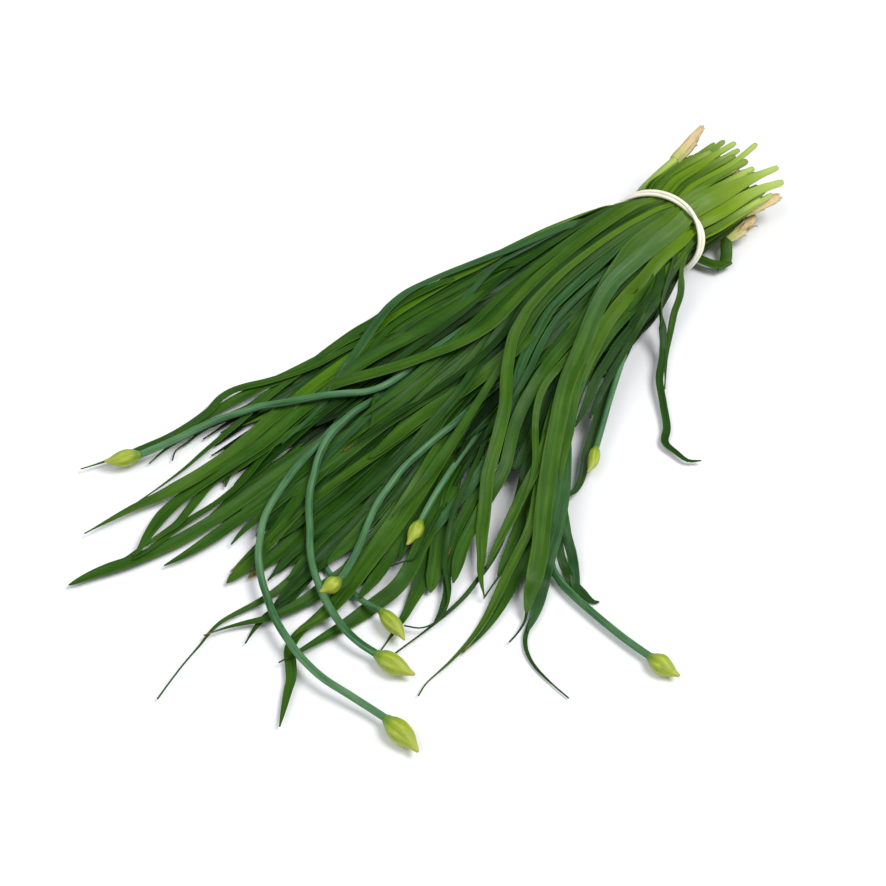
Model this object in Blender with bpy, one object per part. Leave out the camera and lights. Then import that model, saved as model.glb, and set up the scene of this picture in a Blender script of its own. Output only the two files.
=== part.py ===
# A bunch of garlic chives lying on its side: strap leaves and budded flower stalks,
# held at the neck by one thin rubber band wound twice.
# Frame: the origin is on the table under the tied neck, +X runs from the neck to the leaf tips,
# +Y to the near side and +Z up. Routes are in millimetres in that plan, built in metres.

import bpy
import bmesh
import numpy as np
from mathutils import Vector

MM = 0.001
SEED = 29

# The pile of leaves, in mm
NECK_HALF_WIDTH = 23.0      # half the width of the bunch under the band
NECK_HEIGHT = 36.0          # height of the bunch under the band
FAN_LENGTH = 240.0          # from the band to where the pile has thinned out
TIP_HEIGHT = 4.0            # height of the pile there
NEAR_SPREAD = (0.28, 0.0009)  # how the near edge runs out with x, and with x squared
FAR_SPREAD = 0.30           # how the far edge runs out with x
SIGHT_LEAN = 0.66           # what lies d mm higher is set d times this toward +X and +Y

# The packed inner stems, as shares of the pile's height and width, in mm along the bunch
CORE_HEIGHT = 0.78
CORE_WIDTH = 0.88
CORE_END_HEIGHT = 0.48      # what is left of both where the core ends inside the fan
CORE_END_WIDTH = 0.58
CORE_FADE = (74.0, 122.0)   # it thins out between these two places
CORE_STATIONS = [-50, -34, -16, 0, 18, 44, 74, 100, 122]
CORE_FLAT = 0.72            # how much of its width rests on the table

# The leaves, in mm
BLADE_DEPTH = 0.24          # depth of a blade's keel as a share of its width
LEAST_DEPTH = 0.9
HALF_WIDTH_LEAST = 0.5      # a tip is never narrower than this on each side
TIP_SHARE = 0.30            # share of a leaf's length that tapers to the tip
CUT_END = -50.0             # where the leaves with a hidden start are cut, behind the band
CUT_SPREAD = 5.0            # and how much their ends differ
ROOTED_FROM = 70.0          # leaves that first show beyond this start inside the core
HIDDEN_LEAVES = 6           # leaves inside the pile, placed by rule
LEAF_TURN = 30.0            # degrees that a blade may turn between two sections
LEAF_STEP = 60.0            # longest stretch between two sections
LINE_SAMPLES = 160          # points on a leaf's centre line, from which its sections are picked

# The band, in mm
BAND_RADIUS = 0.95
BAND_HALF_WIDTH = 23.6
BAND_HALF_HEIGHT = 18.0
BAND_BOTTOM = 1.1           # height of the band's centre line at its lowest
BAND_PLACE = 1.6            # x of the band at half its height
BAND_SLANT = -0.50          # its top leans toward the cut ends
BAND_YAW = -0.20            # its near side is turned toward the cut ends
BAND_BESIDE = 1.30          # half the distance between the two windings, side by side
BAND_OVER = 1.10            # and where one crosses over the other
BAND_SAMPLES = 84           # rings along its two windings
BAND_SIDES = 5
BAND_GRIP = 0.095           # share by which it draws the leaves and stalks in
BAND_GRIP_REACH = 8.0       # how far from the band they are drawn in

GAP = 0.3                   # between pieces that lie against each other, in mm

# Leaves that show: width, how far each lies above the pile, and its route from the cut end to the
# tip. A point with a third number has its own height.
LEAVES = [
    (5.0, 0.0, [(-43.5, -20.8, 29.5), (-35.8, -20.3, 28.5), (-26.8, -20.4, 27.3), (-17, -20.2, 26),
                (-5.4, -19, 24.5), (8, -19.5, 23), (25, -21, 22), (50, -24, 21), (80, -28, 18)]),
    (9.0, 1.5, [(-66, 15), (-58, 14.2), (-45, 13.3), (-30, 13), (-12, 13.3), (0, 14), (20, 15), (40, 17),
                (57, 20), (73, 26), (87, 31), (97, 37), (107, 42.5), (120, 51), (130, 57.5), (140, 64),
                (150, 71), (160, 77.5), (170, 83), (185, 89), (200, 94), (215, 98), (235, 100),
                (250, 101), (256, 103)]),
    (4.5, 2.5, [(-54, 10), (-30, 9.6), (-12, 9.6), (0, 9.8), (10, 9.3), (20, 8.8), (30, 9.3), (43, 12.5),
                (60, 16), (80, 21.7), (90, 22.5), (103, 25.8), (115, 28.3), (127, 32.5), (135, 36.7),
                (150, 46), (168, 57), (180, 62), (189, 72), (197, 81), (203, 87)]),
    (6.0, 0.0, [(-64, 20.3), (-50, 18.8), (-30, 18.3), (-12, 18.6), (0, 18.8), (20, 20.2), (40, 22.6),
                (60, 25), (80, 29), (100, 36), (120, 47), (140, 61), (160, 77), (180, 94), (195, 102),
                (205, 107), (212, 109.5)]),
    (4.5, 0.0, [(-58, 21.3), (-30, 20.8), (-12, 21), (0, 21.6), (10, 22.8), (27, 25.5), (43, 29),
                (60, 33), (70, 37.5), (90, 43), (107, 49), (120, 58), (140, 72), (160, 88), (175, 98),
                (185, 104), (195, 108), (203, 111), (208, 116), (212, 124), (214, 134), (214.5, 144)]),
    (4.0, 0.0, [(-50, 21.6), (-20, 21.4), (0, 22.3), (10, 24), (27, 28), (39, 32.5), (60, 40), (80, 45),
                (90, 50), (100, 54), (110, 59), (120, 65), (125, 69), (130, 73), (136, 75.5), (142, 76)]),
    (6.0, 0.5, [(40, 22.5), (60, 26), (80, 33), (100, 39), (110, 46.7), (120, 53), (130, 63), (140, 71.7),
                (150, 81), (160, 94), (168, 108), (173, 117), (172, 121)]),
    (3.0, 1.0, [(90, 29), (100, 30.8), (110, 33), (118, 37.5), (127, 44), (135, 51.7), (143, 59),
                (152, 65), (165, 74), (186, 85), (201, 87)]),
    (3.0, 0.5, [(48, 11.4), (65, 10.8), (75, 11.7), (85, 14.6), (95, 18.3), (105, 21.7), (125, 27),
                (150, 33), (180, 40), (208, 43.6), (214.5, 49.5)]),
    (4.5, 0.5, [(-50, 6), (-30, 5), (-12, 6.4), (0, 7.3), (10, 6), (20, 5), (30, 5.2), (40, 5.9),
                (60, 5.8), (73, 6.3), (83, 8.3), (93, 12.5), (103, 15.8), (115, 19), (123, 23), (140, 30),
                (165, 41), (190, 47), (201, 48), (213.6, 55.5), (222.7, 58.6), (241, 59), (254.5, 58),
                (268, 55.5), (283.6, 53)]),
    (4.0, 2.0, [(-68, 0), (-62, 1), (-50, 2.3), (-30, 2), (-12, 2), (0, 2.5), (10, 1.5), (20, 0),
                (30, -1), (40, -1.7), (60, -2.5), (75, -1.7), (87, 0), (97, 4), (105, 9), (113, 15),
                (120, 20), (130, 25), (150, 35), (175, 46), (189, 52.7), (197, 59), (204.5, 67),
                (210, 73.6), (217, 79), (226, 82), (232, 80), (236, 74.5)]),
    (4.5, 1.0, [(-62, -3), (-50, -3.2), (-30, -3.6), (-12, -2.5), (0, -1.5), (10, -3.5), (20, -5),
                (30, -6.8), (40, -7.8), (60, -8.3), (73, -8.3), (83, -5.8), (93, -4.2), (103, -1.7),
                (113, 0.8), (130, 6), (150, 9), (175, 12), (200, 14), (230, 15), (242.5, 15.8),
                (251, 17.5), (259, 19)]),
    (7.0, 1.5, [(-63, -8.3), (-50, -8), (-30, -6.3), (-12, -5.8), (0, -6.5), (20, -8), (40, -9), (70, -9),
                (90, -7.5), (100, -6.7), (110, -8.3), (120, -11.7), (130, -16.7), (140, -21.7),
                (150, -27.5), (160, -34), (170, -40), (185, -46), (200, -46), (213.6, -44), (222.7, -43),
                (241, -45.5), (259, -48), (268, -49.5), (280, -51), (296, -53.5)]),
    (4.0, 0.5, [(-66, -15), (-50, -12), (-30, -10), (-12, -8.8), (0, -9.5), (20, -10.5), (40, -11.7),
                (60, -12.5), (80, -11.7), (98, -12.5), (111, -10.8), (150, -10), (180, -13), (210, -15),
                (238, -13), (250, -13), (260, -14), (270, -15), (284, -16.7)]),
    (5.0, 0.5, [(-64, -19), (-50, -17), (-30, -14.5), (-12, -12.5), (0, -12), (20, -14), (40, -15),
                (60, -16.7), (80, -18.3), (100, -18.3), (122, -16.7), (160, -17), (200, -20),
                (230, -21.7), (242.5, -20), (255, -21), (267.5, -22.5), (283, -26)]),
    (3.5, 0.5, [(-45, -19), (-20, -16), (0, -15.3), (20, -17.5), (40, -20.5), (65, -21.7), (73, -26.7),
                (80, -30), (90, -33), (100, -36), (110, -39), (120, -41.7), (130, -43), (138, -41.7),
                (160, -37), (180, -37), (200, -38), (215, -32), (230, -29), (250, -27), (277, -26),
                (288, -27), (297, -28), (303, -31), (310, -34), (318, -36)]),
    (6.0, 0.0, [(-50, -20.5), (-20, -18.8), (0, -18.4), (20, -22.5), (40, -28), (60, -33), (80, -38),
                (90, -41.7), (100, -43.8), (110, -45.8), (120, -47.5), (130, -48.3), (140, -47.8),
                (170, -47.5), (190, -48), (200, -50), (210, -53)]),
    (4.0, 1.0, [(40, -22), (60, -27), (73, -30), (83, -29.6), (93, -28), (103, -26), (113, -23),
                (120, -21), (130, -19), (160, -16), (190, -13), (215, -11), (230, -9)]),
    (4.5, 0.3, [(100, -46), (115, -51), (131, -52.5), (140, -54.6), (150, -55.8), (170, -56.7),
                (191, -58.6), (201, -59), (208, -61), (218, -63.6), (232, -66.8), (242, -67), (252, -65.5)]),
    (4.0, 1.5, [(40, -24), (62, -33), (69, -37), (80, -42.5), (90, -47.5), (100, -51.7), (109, -53.8),
                (120, -53.3), (130, -50.8), (140, -47.5), (150, -44), (160, -41), (168, -38), (185, -34),
                (205, -32)]),
    (6.0, 1.0, [(100, -24), (113, -26), (123, -30), (132, -32.5), (140, -35), (150, -37.5), (160, -39),
                (185, -40), (210, -38.5), (230, -39), (240, -41.7), (260, -43), (265, -41.7),
                (270, -39.6), (275, -37), (280, -34), (285, -31)]),
    (6.0, 0.5, [(95, 10), (110, 10), (123, 9), (136, 7.5), (148, 5), (160, 3.3), (170, 2.5), (200, 1),
                (225, 0), (240, 2.5), (248, 5), (255, 6.7), (263, 8), (272, 8.3)]),
    (4.0, 0.5, [(100, -3), (110, -2.5), (123, -0.8), (136, 0.4), (148, -1.7), (160, -4), (170, -5.8),
                (200, -7), (230, -8), (248, -8), (257, -6)]),
    (8.0, 0.5, [(105, 11), (115, 15), (123, 20), (132, 26), (140, 31.7), (150, 37.5), (160, 42.5),
                (170, 48), (180, 54), (195, 64), (207, 73)]),
    (6.0, 0.0, [(120, 12), (135, 14), (150, 17), (170, 22), (190, 25), (210, 22), (230, 18), (240, 22),
                (250, 25), (260, 26.7), (270, 25.8), (280, 23), (286.7, 22), (293, 22.5), (300, 24.6),
                (310, 27), (320, 30), (329, 33)]),
    (3.5, 1.0, [(140, -20), (150, -21), (158, -21), (164, -18), (170, -12), (174, -9)]),
    (3.2, 0.0, [(0, 22), (10, 25), (18, 31.7), (27, 36), (35, 41), (47, 49), (58, 58), (63, 62)]),
    (3.5, 0.0, [(18, 25), (32.5, 31.7), (37, 37), (43, 43), (50, 49), (60, 56), (70, 67), (80, 78),
                (87, 83), (88, 90), (88, 97), (84, 101)]),
    (1.8, 0.0, [(150, 55), (170, 65), (198, 78.6), (209, 82), (227, 82.5), (248, 82)]),
    (2.2, 1.0, [(190, 46), (205, 52), (209, 53), (213, 51), (218, 49)]),
    (5.0, 0.5, [(240, 40), (262, 44), (275.5, 50), (281, 57), (286, 62.7), (290, 65.5), (304, 76)]),
    (5.5, 0.0, [(190, 50), (203, 55), (213.6, 59), (222.7, 62.7), (232, 69), (241, 73), (251, 77)]),
    (6.0, 0.0, [(215, 38), (230, 41), (245, 43), (252, 46.7), (258, 47.5), (263, 46.7), (267, 46),
                (272, 47.5)]),
    (6.0, 0.0, [(140, 48), (155, 52), (168, 57), (180, 63), (192, 70), (200, 76)]),
    (4.0, 0.0, [(130, 66), (150, 83), (160, 93), (170, 101), (180, 106)]),
    (3.5, 1.0, [(150, -50), (165, -54), (175, -58.6), (186, -65), (193.6, -70), (200, -72.7), (206, -73),
                (213.6, -71), (227, -71), (237, -72), (245.5, -74.5), (254.5, -77), (264.5, -80),
                (274.5, -83.6)]),
    (5.0, 0.5, [(160, -54), (180, -60.5), (191, -66), (200, -67.7), (213.6, -68.6), (227, -69), (241, -71)]),
    (2.2, 0.0, [(200, -58), (215, -62), (225.5, -63.6), (232, -63), (239, -63), (244, -59.5)]),
    (4.0, 0.5, [(150, -50.5), (172.7, -52), (195.5, -53), (209, -54), (219, -54), (232, -52.7),
                (241, -51.8), (250, -51), (259, -51.5), (273, -51.4)]),
    (6.0, 0.3, [(140, -40), (150, -42), (168, -44), (186, -43), (200, -43), (215, -41), (230, -42),
                (245, -44), (258, -46), (270, -48)]),
    (4.0, 0.5, [(200, -34), (225, -36), (240, -37.5), (250, -35), (258, -32.5), (265, -30.4),
                (275, -30.4), (295, -31.5)]),
    (3.0, 0.0, [(205, -36), (220, -38), (230, -37), (238, -32)]),
    (5.0, 0.0, [(180, -26), (200, -24), (215, -25), (232, -26.5), (250, -24), (262, -24)]),
    (3.0, 0.0, [(210, 2), (230, 3), (250, 3.3), (266, 5)]),
    (4.0, 0.0, [(200, 7), (215, 8), (230, 9), (242.5, 10.8), (255, 11.7), (263, 12.5)]),
    (5.0, 0.0, [(205, 22), (225, 25), (245, 28), (255, 31), (263, 33), (273, 32.5), (280, 34), (287, 36.7)]),
    (5.0, 1.0, [(205, 36), (225, 38), (247, 38), (257, 37.5), (267, 35), (273, 33), (280, 29), (288, 25),
                (296, 22)]),
]

# One leaf that hangs out behind the band is folded over: its way out to the fold, and its way back
FOLDED_WIDTH = 5.5
FOLDED_LEAF = [
    [(-34, 15.6, 9.5), (-29.5, 19.9, 8), (-26.3, 22.6, 6.2), (-21.5, 26.5, 4.4), (-17.6, 28.8, 3.6)],
    [(-18.8, 29.6, 3.4), (-16.8, 22.5, 4.4), (-15.2, 17.6, 5.2), (-13.5, 11, 5.2)],
]

# Flower stalks: width, cut end and way past the band (x of the end, then y and height), how far it
# lies above the pile unless a point gives its own, its route to the foot of the bud, the bud's tip
# and the bud's width
STALKS = [
    (3.6, (-52, -10, 25), 3.2, [(130, -18.5, -1), (147, -19.5, 1.5), (155.5, -21.4, 3.6), (161.8, -25),
     (168, -31.4), (175.5, -38.6), (182.7, -44), (190, -49.5), (197, -55), (204.5, -58.6), (213.6, -62.7),
     (222.7, -66), (231.8, -68), (241, -70), (251, -72.7, 2.5)],
     (264.5, -78.6), 7.0),
    (3.6, (-45, -16, 14), 3.2, [(160, -24, -4.5), (175, -22.8, -3), (185, -21.8, -1.5), (192, -20.5, 0.5),
     (200, -19.6, 2), (210, -17.6), (220, -14.6), (230, -10.8), (238, -6.5), (246, 0.2), (252, 6),
     (260, 17), (264.5, 25.5), (269, 33.6), (272, 41), (274.5, 48), (277, 55.5), (277.5, 72),
     (275, 83.6, 2.2), (273.6, 94.5, 1.2), (272, 102, 1.2)],
     (273, 121), 8.5),
    (3.6, (-50, -2, 22), 3.2, [(130, -12, -6), (145, -14.5, -3.5), (155, -17.8, -2.6), (163, -19.2, -0.8),
     (172, -21, 2.2), (180, -20.8), (190, -19, 4), (200, -14.3), (206, -10), (213.6, -4.5), (221, 2.7),
     (228, 11), (234.5, 18), (241, 27), (246, 35.5), (250, 43.6), (252.7, 51.8), (255, 60),
     (255, 69, 2.2), (253.6, 77, 1.2)],
     (250.5, 94.5), 8.0),
    (3.4, (-62, 9, 24), 3.0, [(140, 17, -2), (150, 17, 1), (159, 16.4), (170, 16.4), (180, 16.8),
     (190, 19), (200, 21.8), (209, 26), (218, 31), (226, 35.3, 3.8), (234, 38.5, 4.6)],
     (245, 39.5), 6.5),
    (3.0, (-50, 4, 11), 1.6, [(150, 12, -6), (200, 20, -2), (222, 24, -2.2), (236, 27.5, -2.2),
     (239, 34, -2.2), (239, 45, -2.2), (239, 54, 0.5), (237, 62.7, 2.2)],
     (239.5, 79.5), 6.5),
    (3.0, (-57, 12, 18), 2.6, [(130, 26, -6), (160, 31, -2), (172, 34, 1.5), (182, 37), (194.5, 41.8)],
     (206, 46.8), 6.0),
    (3.0, (-45, 16, 13), 2.6, [(60, 36, -5), (80, 46, -1.5), (90, 52, 0.5), (100, 58.5, 1.4),
     (112, 65, 1.4)],
     (125, 70), 5.5),
    (3.6, (-49, 13, 8), 2.0, [(80, 38, -8), (120, 58, -3), (150, 78, 0), (162, 89, 1.4), (173, 105, 1.4),
     (176, 118, 1.4), (178, 132, 1.4), (178, 145, 1.4), (177, 153, 1.6)],
     (177, 167), 7.5),
]
# Along a bud: share of its length, and of its half width
BUD_PROFILE = [(0.00, 0.46), (0.10, 0.56), (0.28, 0.88), (0.46, 1.00), (0.62, 0.86), (0.78, 0.52),
               (0.90, 0.30), (1.0, 0.14)]
STALK_SIDES = 6
STALK_TURN = 14.0           # degrees that a stalk may turn between two rings
STALK_STEP = 45.0           # longest stretch between two rings
ROOM_END = -75.0            # the leaves keep clear of a stalk's own line as far back as this

# Dry brown leaf sheaths at the cut ends: width, thickness, and the line from the green part to the tip
SHEATHS = [
    (4.4, 2.8, [(-44.6, -21.2, 29.6), (-51.2, -22.4, 30), (-61.7, -25.2, 31)]),
    (5.0, 3.2, [(-47, 20.8, 15), (-55.7, 20.6, 14.8), (-64.7, 22, 14.2)]),
    (5.5, 2.4, [(-36, 20.3, 8.8), (-42, 21, 8.4), (-49, 21.6, 8)]),
    (4.5, 2.0, [(-46, 4.6, 27), (-51, 5.8, 27.4), (-56, 7.5, 27.8)]),
]
SHEATH_SHAPE = [0.72, 0.95, 1.0, 0.92, 0.98, 0.8, 0.45]     # share of the width along a sheath


# Half the width of the bunch, on the near side and on the far side
def near_edge(x):
    ahead = np.clip(x, 0, None)
    return NECK_HALF_WIDTH + NEAR_SPREAD[0] * ahead + NEAR_SPREAD[1] * ahead ** 2


def far_edge(x):
    return NECK_HALF_WIDTH + FAR_SPREAD * np.clip(x, 0, None)


# Height of the pile's upper side: a hump across the bunch that sinks along it.
# At the neck it is the upper half of an oval, and further out its near side runs down to the table.
def pile(x, y):
    x = np.asarray(x, float)
    y = np.asarray(y, float)
    swell = 0.5 * (1 + np.cos(np.pi * np.clip(x / FAN_LENGTH, 0, 1)))
    crown = TIP_HEIGHT + (NECK_HEIGHT - TIP_HEIGHT) * swell
    crown = np.where(x < -10, NECK_HEIGHT + 0.12 * (x + 10), crown)
    tied = np.clip(1 - x / 40.0, 0, 1)
    across = np.where(y > 0, y / near_edge(x), -y / far_edge(x))
    dome = np.sqrt(np.clip(1 - across ** 2, 0, 1))
    rim = np.where(y > 0, 0.12 + 0.38 * tied, 0.65 - 0.15 * tied)
    rim = np.where((y < 0) & (across > 1), rim * np.exp(-3 * (across - 1).clip(0, None)), rim)
    return 1 + (crown - 1) * (rim + (1 - rim) * dome)


# A smooth line through the points, sampled evenly
def smooth(points, samples):
    points = np.asarray(points, float)
    steps = np.sqrt(np.linalg.norm(np.diff(points, axis=0), axis=1))
    knots = np.concatenate([[0.0], np.cumsum(steps)])
    slopes = np.gradient(points, knots, axis=0)
    at = np.linspace(0, knots[-1], samples)
    i = np.clip(np.searchsorted(knots, at, side="right") - 1, 0, len(knots) - 2)
    span = (knots[i + 1] - knots[i])[:, None]
    t = ((at - knots[i])[:, None]) / span
    start = (1 + 2 * t) * (1 - t) ** 2 * points[i] + t * (1 - t) ** 2 * span * slopes[i]
    end = t * t * (3 - 2 * t) * points[i + 1] + t * t * (t - 1) * span * slopes[i + 1]
    return start + end


def tangents(line):
    along = np.gradient(line, axis=0)
    return along / np.linalg.norm(along, axis=1)[:, None]


# The band lies in a slanted plane, so its place along x depends on y and height
def band_x(y, z):
    return BAND_PLACE + BAND_SLANT * (z - BAND_BOTTOM - BAND_HALF_HEIGHT) + BAND_YAW * y


# Draws a line in toward the middle of the neck where the band grips it
def gripped(line):
    out = line.copy()
    off = (line[:, 0] - band_x(line[:, 1], line[:, 2])) / BAND_GRIP_REACH
    share = 1 - BAND_GRIP * np.exp(-off ** 2)
    middle = BAND_BOTTOM + BAND_HALF_HEIGHT
    out[:, 1] = line[:, 1] * share
    out[:, 2] = middle + (line[:, 2] - middle) * share
    return out


# The hidden way to the first point that shows. A leaf that comes out near the neck runs on from
# its cut end, and one that comes out further along is rooted in the packed core.
def hidden_start(first_x, first_y, rng):
    across = first_y / (near_edge(first_x) if first_y > 0 else far_edge(first_x))
    depth = 1 - 0.72 * min(max(first_x, 0) / FAN_LENGTH, 1)
    stations = [CUT_END + rng.uniform(-CUT_SPREAD, CUT_SPREAD), -30, -8, 10, 45]
    if first_x > ROOTED_FROM:
        stations = [min(first_x - 50, 88), min(first_x - 28, 115)]
    points = []
    for x in stations:
        if x >= first_x - 8:
            continue
        out = min(max(x - 10, 0) / max(first_x - 10, 1), 1)
        share = depth + (1 - depth) * out ** 1.4
        if first_x > ROOTED_FROM:
            share = min(share, 0.55 if x == stations[0] else 0.72)
        y = across * (0.8 + 0.2 * out) * (near_edge(x) if first_y > 0 else far_edge(x))
        points.append((x, y, float(pile(x, y)) * share))
    return points


# A leaf's centre line: its hidden start, then its route laid on the pile
def leaf_line(points, lift, rng):
    shown = []
    for i, point in enumerate(points):
        x, y = point[:2]
        if len(point) > 2:
            shown.append(point)
            continue
        up = lift if i > 0 or x < 0 else 0
        shown.append((x + SIGHT_LEAN * up, y + SIGHT_LEAN * up, float(pile(x, y)) + up))
    first = points[0]
    start = hidden_start(first[0], first[1], rng) if first[0] > -20 else []
    return gripped(smooth(start + shown, LINE_SAMPLES))


# Hidden leaves fill the pile at even steps across it, in seeded order
def filler_lines(rng):
    lines = []
    for i in range(HIDDEN_LEAVES):
        across = -0.9 + 1.8 * (i + 0.5) / HIDDEN_LEAVES + rng.uniform(-0.03, 0.03)
        share = rng.uniform(0.45, 0.86)
        reach = 225 - 80 * max(across, 0) ** 2 - 12 * max(-across, 0) - rng.uniform(0, 45)
        points = []
        cut = CUT_END + rng.uniform(-CUT_SPREAD, CUT_SPREAD)
        for x in [cut, -30, -8, 10] + list(np.linspace(50, reach, 5)):
            y = 0.93 * across * (near_edge(x) if across > 0 else far_edge(x)) + rng.uniform(-2, 2)
            points.append((x, y, max(float(pile(x, y)) * share, 1.6)))
        lines.append((rng.uniform(4.5, 6.5), gripped(smooth(points, LINE_SAMPLES))))
    return lines


# A stalk's centre line: straight past the band, then up through the pile and along its route
def stalk_line(neck, lift, route):
    cut, side, height = neck
    base = [(ROOM_END, side, height - 1.3), (-25, side, height), (10, side, height)]
    shown = []
    for point in route:
        x, y = point[:2]
        up = point[2] if len(point) > 2 else lift
        shown.append((x + SIGHT_LEAN * up, y + SIGHT_LEAN * up, float(pile(x, y)) + up))
    half = tuple(0.5 * (a + b) for a, b in zip(base[-1], shown[0]))
    return smooth(base + [half] + shown, 230)


# Bends a leaf over or under a stalk that it would run through
def bent_clear(line, width, stalks):
    out = line.copy()
    depth = max(LEAST_DEPTH, width * BLADE_DEPTH)
    for radius, stalk in stalks:
        plan = np.linalg.norm(out[:, None, :2] - stalk[None, :, :2], axis=2)
        nearest = plan.argmin(axis=1)
        reach = radius + 0.5 * width
        close = np.clip((reach + 4 - plan.min(axis=1)) / 4, 0, 1)
        height = stalk[nearest, 2]
        over = out[:, 2] - 0.5 * depth > height
        low = height - radius - GAP - 0.2
        high = height + radius + depth + GAP + 0.2
        target = np.where(over, np.maximum(out[:, 2], high), np.minimum(out[:, 2], low))
        out[:, 2] += (target - out[:, 2]) * close
    out[:, 2] = np.maximum(out[:, 2], depth + 0.25)
    return out


# Sections only where the line has turned or run on far enough
def sections(line, turn, step):
    along = tangents(line)
    bend = np.degrees(np.arccos(np.clip((along[1:] * along[:-1]).sum(axis=1), -1, 1)))
    run = np.linalg.norm(np.diff(line, axis=0), axis=1)
    spent = np.concatenate([[0.0], np.cumsum(bend / turn + run / step)])
    count = max(int(round(spent[-1])), 3)
    marks = np.linspace(0, spent[-1], count + 1)
    return np.clip(np.searchsorted(spent, marks), 0, len(line) - 1)


# Faces between one ring and the next, and over both ends
def skin(bm, rings):
    rows = [[bm.verts.new(Vector(p) * MM) for p in ring] for ring in rings]
    for a, b in zip(rows, rows[1:]):
        for i in range(len(a)):
            j = (i + 1) % len(a)
            bm.faces.new((a[i], a[j], b[j], b[i]))
    bm.faces.new(list(reversed(rows[0])))
    bm.faces.new(rows[-1])


# Turns a finished bmesh into an object in the collection
def new_object(name, bm, collection):
    bmesh.ops.recalc_face_normals(bm, faces=bm.faces)
    bmesh.ops.triangulate(bm, faces=bm.faces)
    mesh = bpy.data.meshes.new(name)
    bm.to_mesh(mesh)
    bm.free()
    thing = bpy.data.objects.new(name, mesh)
    collection.objects.link(thing)
    return thing


# Which way is up for a leaf that lies on the pile, with the slope held to that of a hand-laid leaf
def pile_normal(points):
    x, y = points[:, 0], points[:, 1]
    slope_x = np.clip((pile(x + 2, y) - pile(x - 2, y)) / 4, -0.5, 0.5)
    slope_y = np.clip((pile(x, y + 2) - pile(x, y - 2)) / 4, -1.0, 1.0)
    normal = np.stack([-slope_x, -slope_y, np.ones_like(x)], axis=1)
    return normal / np.linalg.norm(normal, axis=1)[:, None]


# A strap leaf: a three-sided section, flat above with a keel below, that tapers to the tip
def blade(name, line, width, collection, tapers=True):
    chosen = sections(line, LEAF_TURN, LEAF_STEP)
    points = line[chosen]
    along = tangents(line)[chosen]
    up = pile_normal(points)
    side = np.cross(up, along)
    side /= np.linalg.norm(side, axis=1)[:, None]
    up = np.cross(along, side)
    far = chosen / (len(line) - 1)
    full = np.minimum(0.62 + 1.9 * far, 1) * np.clip((1 - far) / TIP_SHARE, 0, 1) ** 0.6
    if not tapers:
        full = np.ones_like(far)
    half = np.maximum(0.5 * width * full, HALF_WIDTH_LEAST)
    depth = np.maximum(width * BLADE_DEPTH * np.minimum(full + 0.25, 1), LEAST_DEPTH * 0.8)
    rings = [(p + s * h, p - s * h, p - u * d) for p, s, u, h, d in zip(points, side, up, half, depth)]
    bm = bmesh.new()
    skin(bm, rings)
    return new_object(name, bm, collection)


# One oval ring of points across a stalk or a sheath
def round_ring(point, along, up, wide, tall, sides):
    side = np.cross(up, along)
    side /= np.linalg.norm(side)
    top = np.cross(along, side)
    angles = 2 * np.pi * (np.arange(sides) + 0.5) / sides
    return [point + side * wide * np.cos(a) + top * tall * np.sin(a) for a in angles]


# A flower stalk with its bud, as one round body whose radius swells at the bud
def stalk_body(name, line, width, bud_tip, bud_width, spare, collection):
    chosen = sections(line, STALK_TURN, STALK_STEP)
    up = np.array([0.0, 0.0, 1.0])
    along = tangents(line)
    rings = []
    for i in chosen[:-1]:
        rings.append(round_ring(line[i], along[i], up, 0.5 * width + spare, 0.5 * width + spare, STALK_SIDES))
    if spare:
        rings[0] = [p - along[0] * 3 for p in rings[0]]
    foot = line[-1]
    tip = np.array([bud_tip[0], bud_tip[1], max(foot[2], 0.5 * bud_width + 0.4)])
    way = tip - foot
    way_along = way / np.linalg.norm(way)
    for share, swell in BUD_PROFILE:
        radius = 0.5 * bud_width * swell + spare
        centre = foot + way * share
        centre[2] = max(centre[2], radius - spare + 0.3)
        rings.append(round_ring(centre, way_along, up, radius, radius, STALK_SIDES))
    bm = bmesh.new()
    skin(bm, rings)
    return new_object(name, bm, collection)


# A dry sheath, flat and uneven, which narrows to a blunt tip
def sheath_body(name, width, thick, route, spare, collection):
    line = smooth(route, len(SHEATH_SHAPE))
    along = tangents(line)
    up = np.array([0.0, 0.0, 1.0])
    rings = []
    for point, direction, share in zip(line, along, SHEATH_SHAPE):
        wide = 0.5 * width * share + spare
        tall = 0.5 * thick * share + spare
        rings.append(round_ring(point, direction, up, wide, tall, 6))
    bm = bmesh.new()
    skin(bm, rings)
    return new_object(name, bm, collection)


# The packed inner stems, a smaller core than the pile, flat underneath where the bunch rests
def core_body(collection):
    across = np.linspace(-1, 1, 7)
    rings = []
    for x in CORE_STATIONS:
        fade = np.interp(x, CORE_FADE, (0, 1))
        spread = CORE_WIDTH + (CORE_END_WIDTH - CORE_WIDTH) * fade
        share = CORE_HEIGHT + (CORE_END_HEIGHT - CORE_HEIGHT) * fade
        y = across * spread * np.where(across > 0, near_edge(x), far_edge(x))
        ring = [np.array([x, b, t]) for b, t in zip(y, pile(x, y) * share)]
        ring.append(np.array([x, y[-1] * CORE_FLAT, 0.0]))
        ring.append(np.array([x, y[0] * CORE_FLAT, 0.0]))
        rings.append(ring)
    bm = bmesh.new()
    skin(bm, rings)
    return new_object("leaf_bunch", bm, collection)


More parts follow.
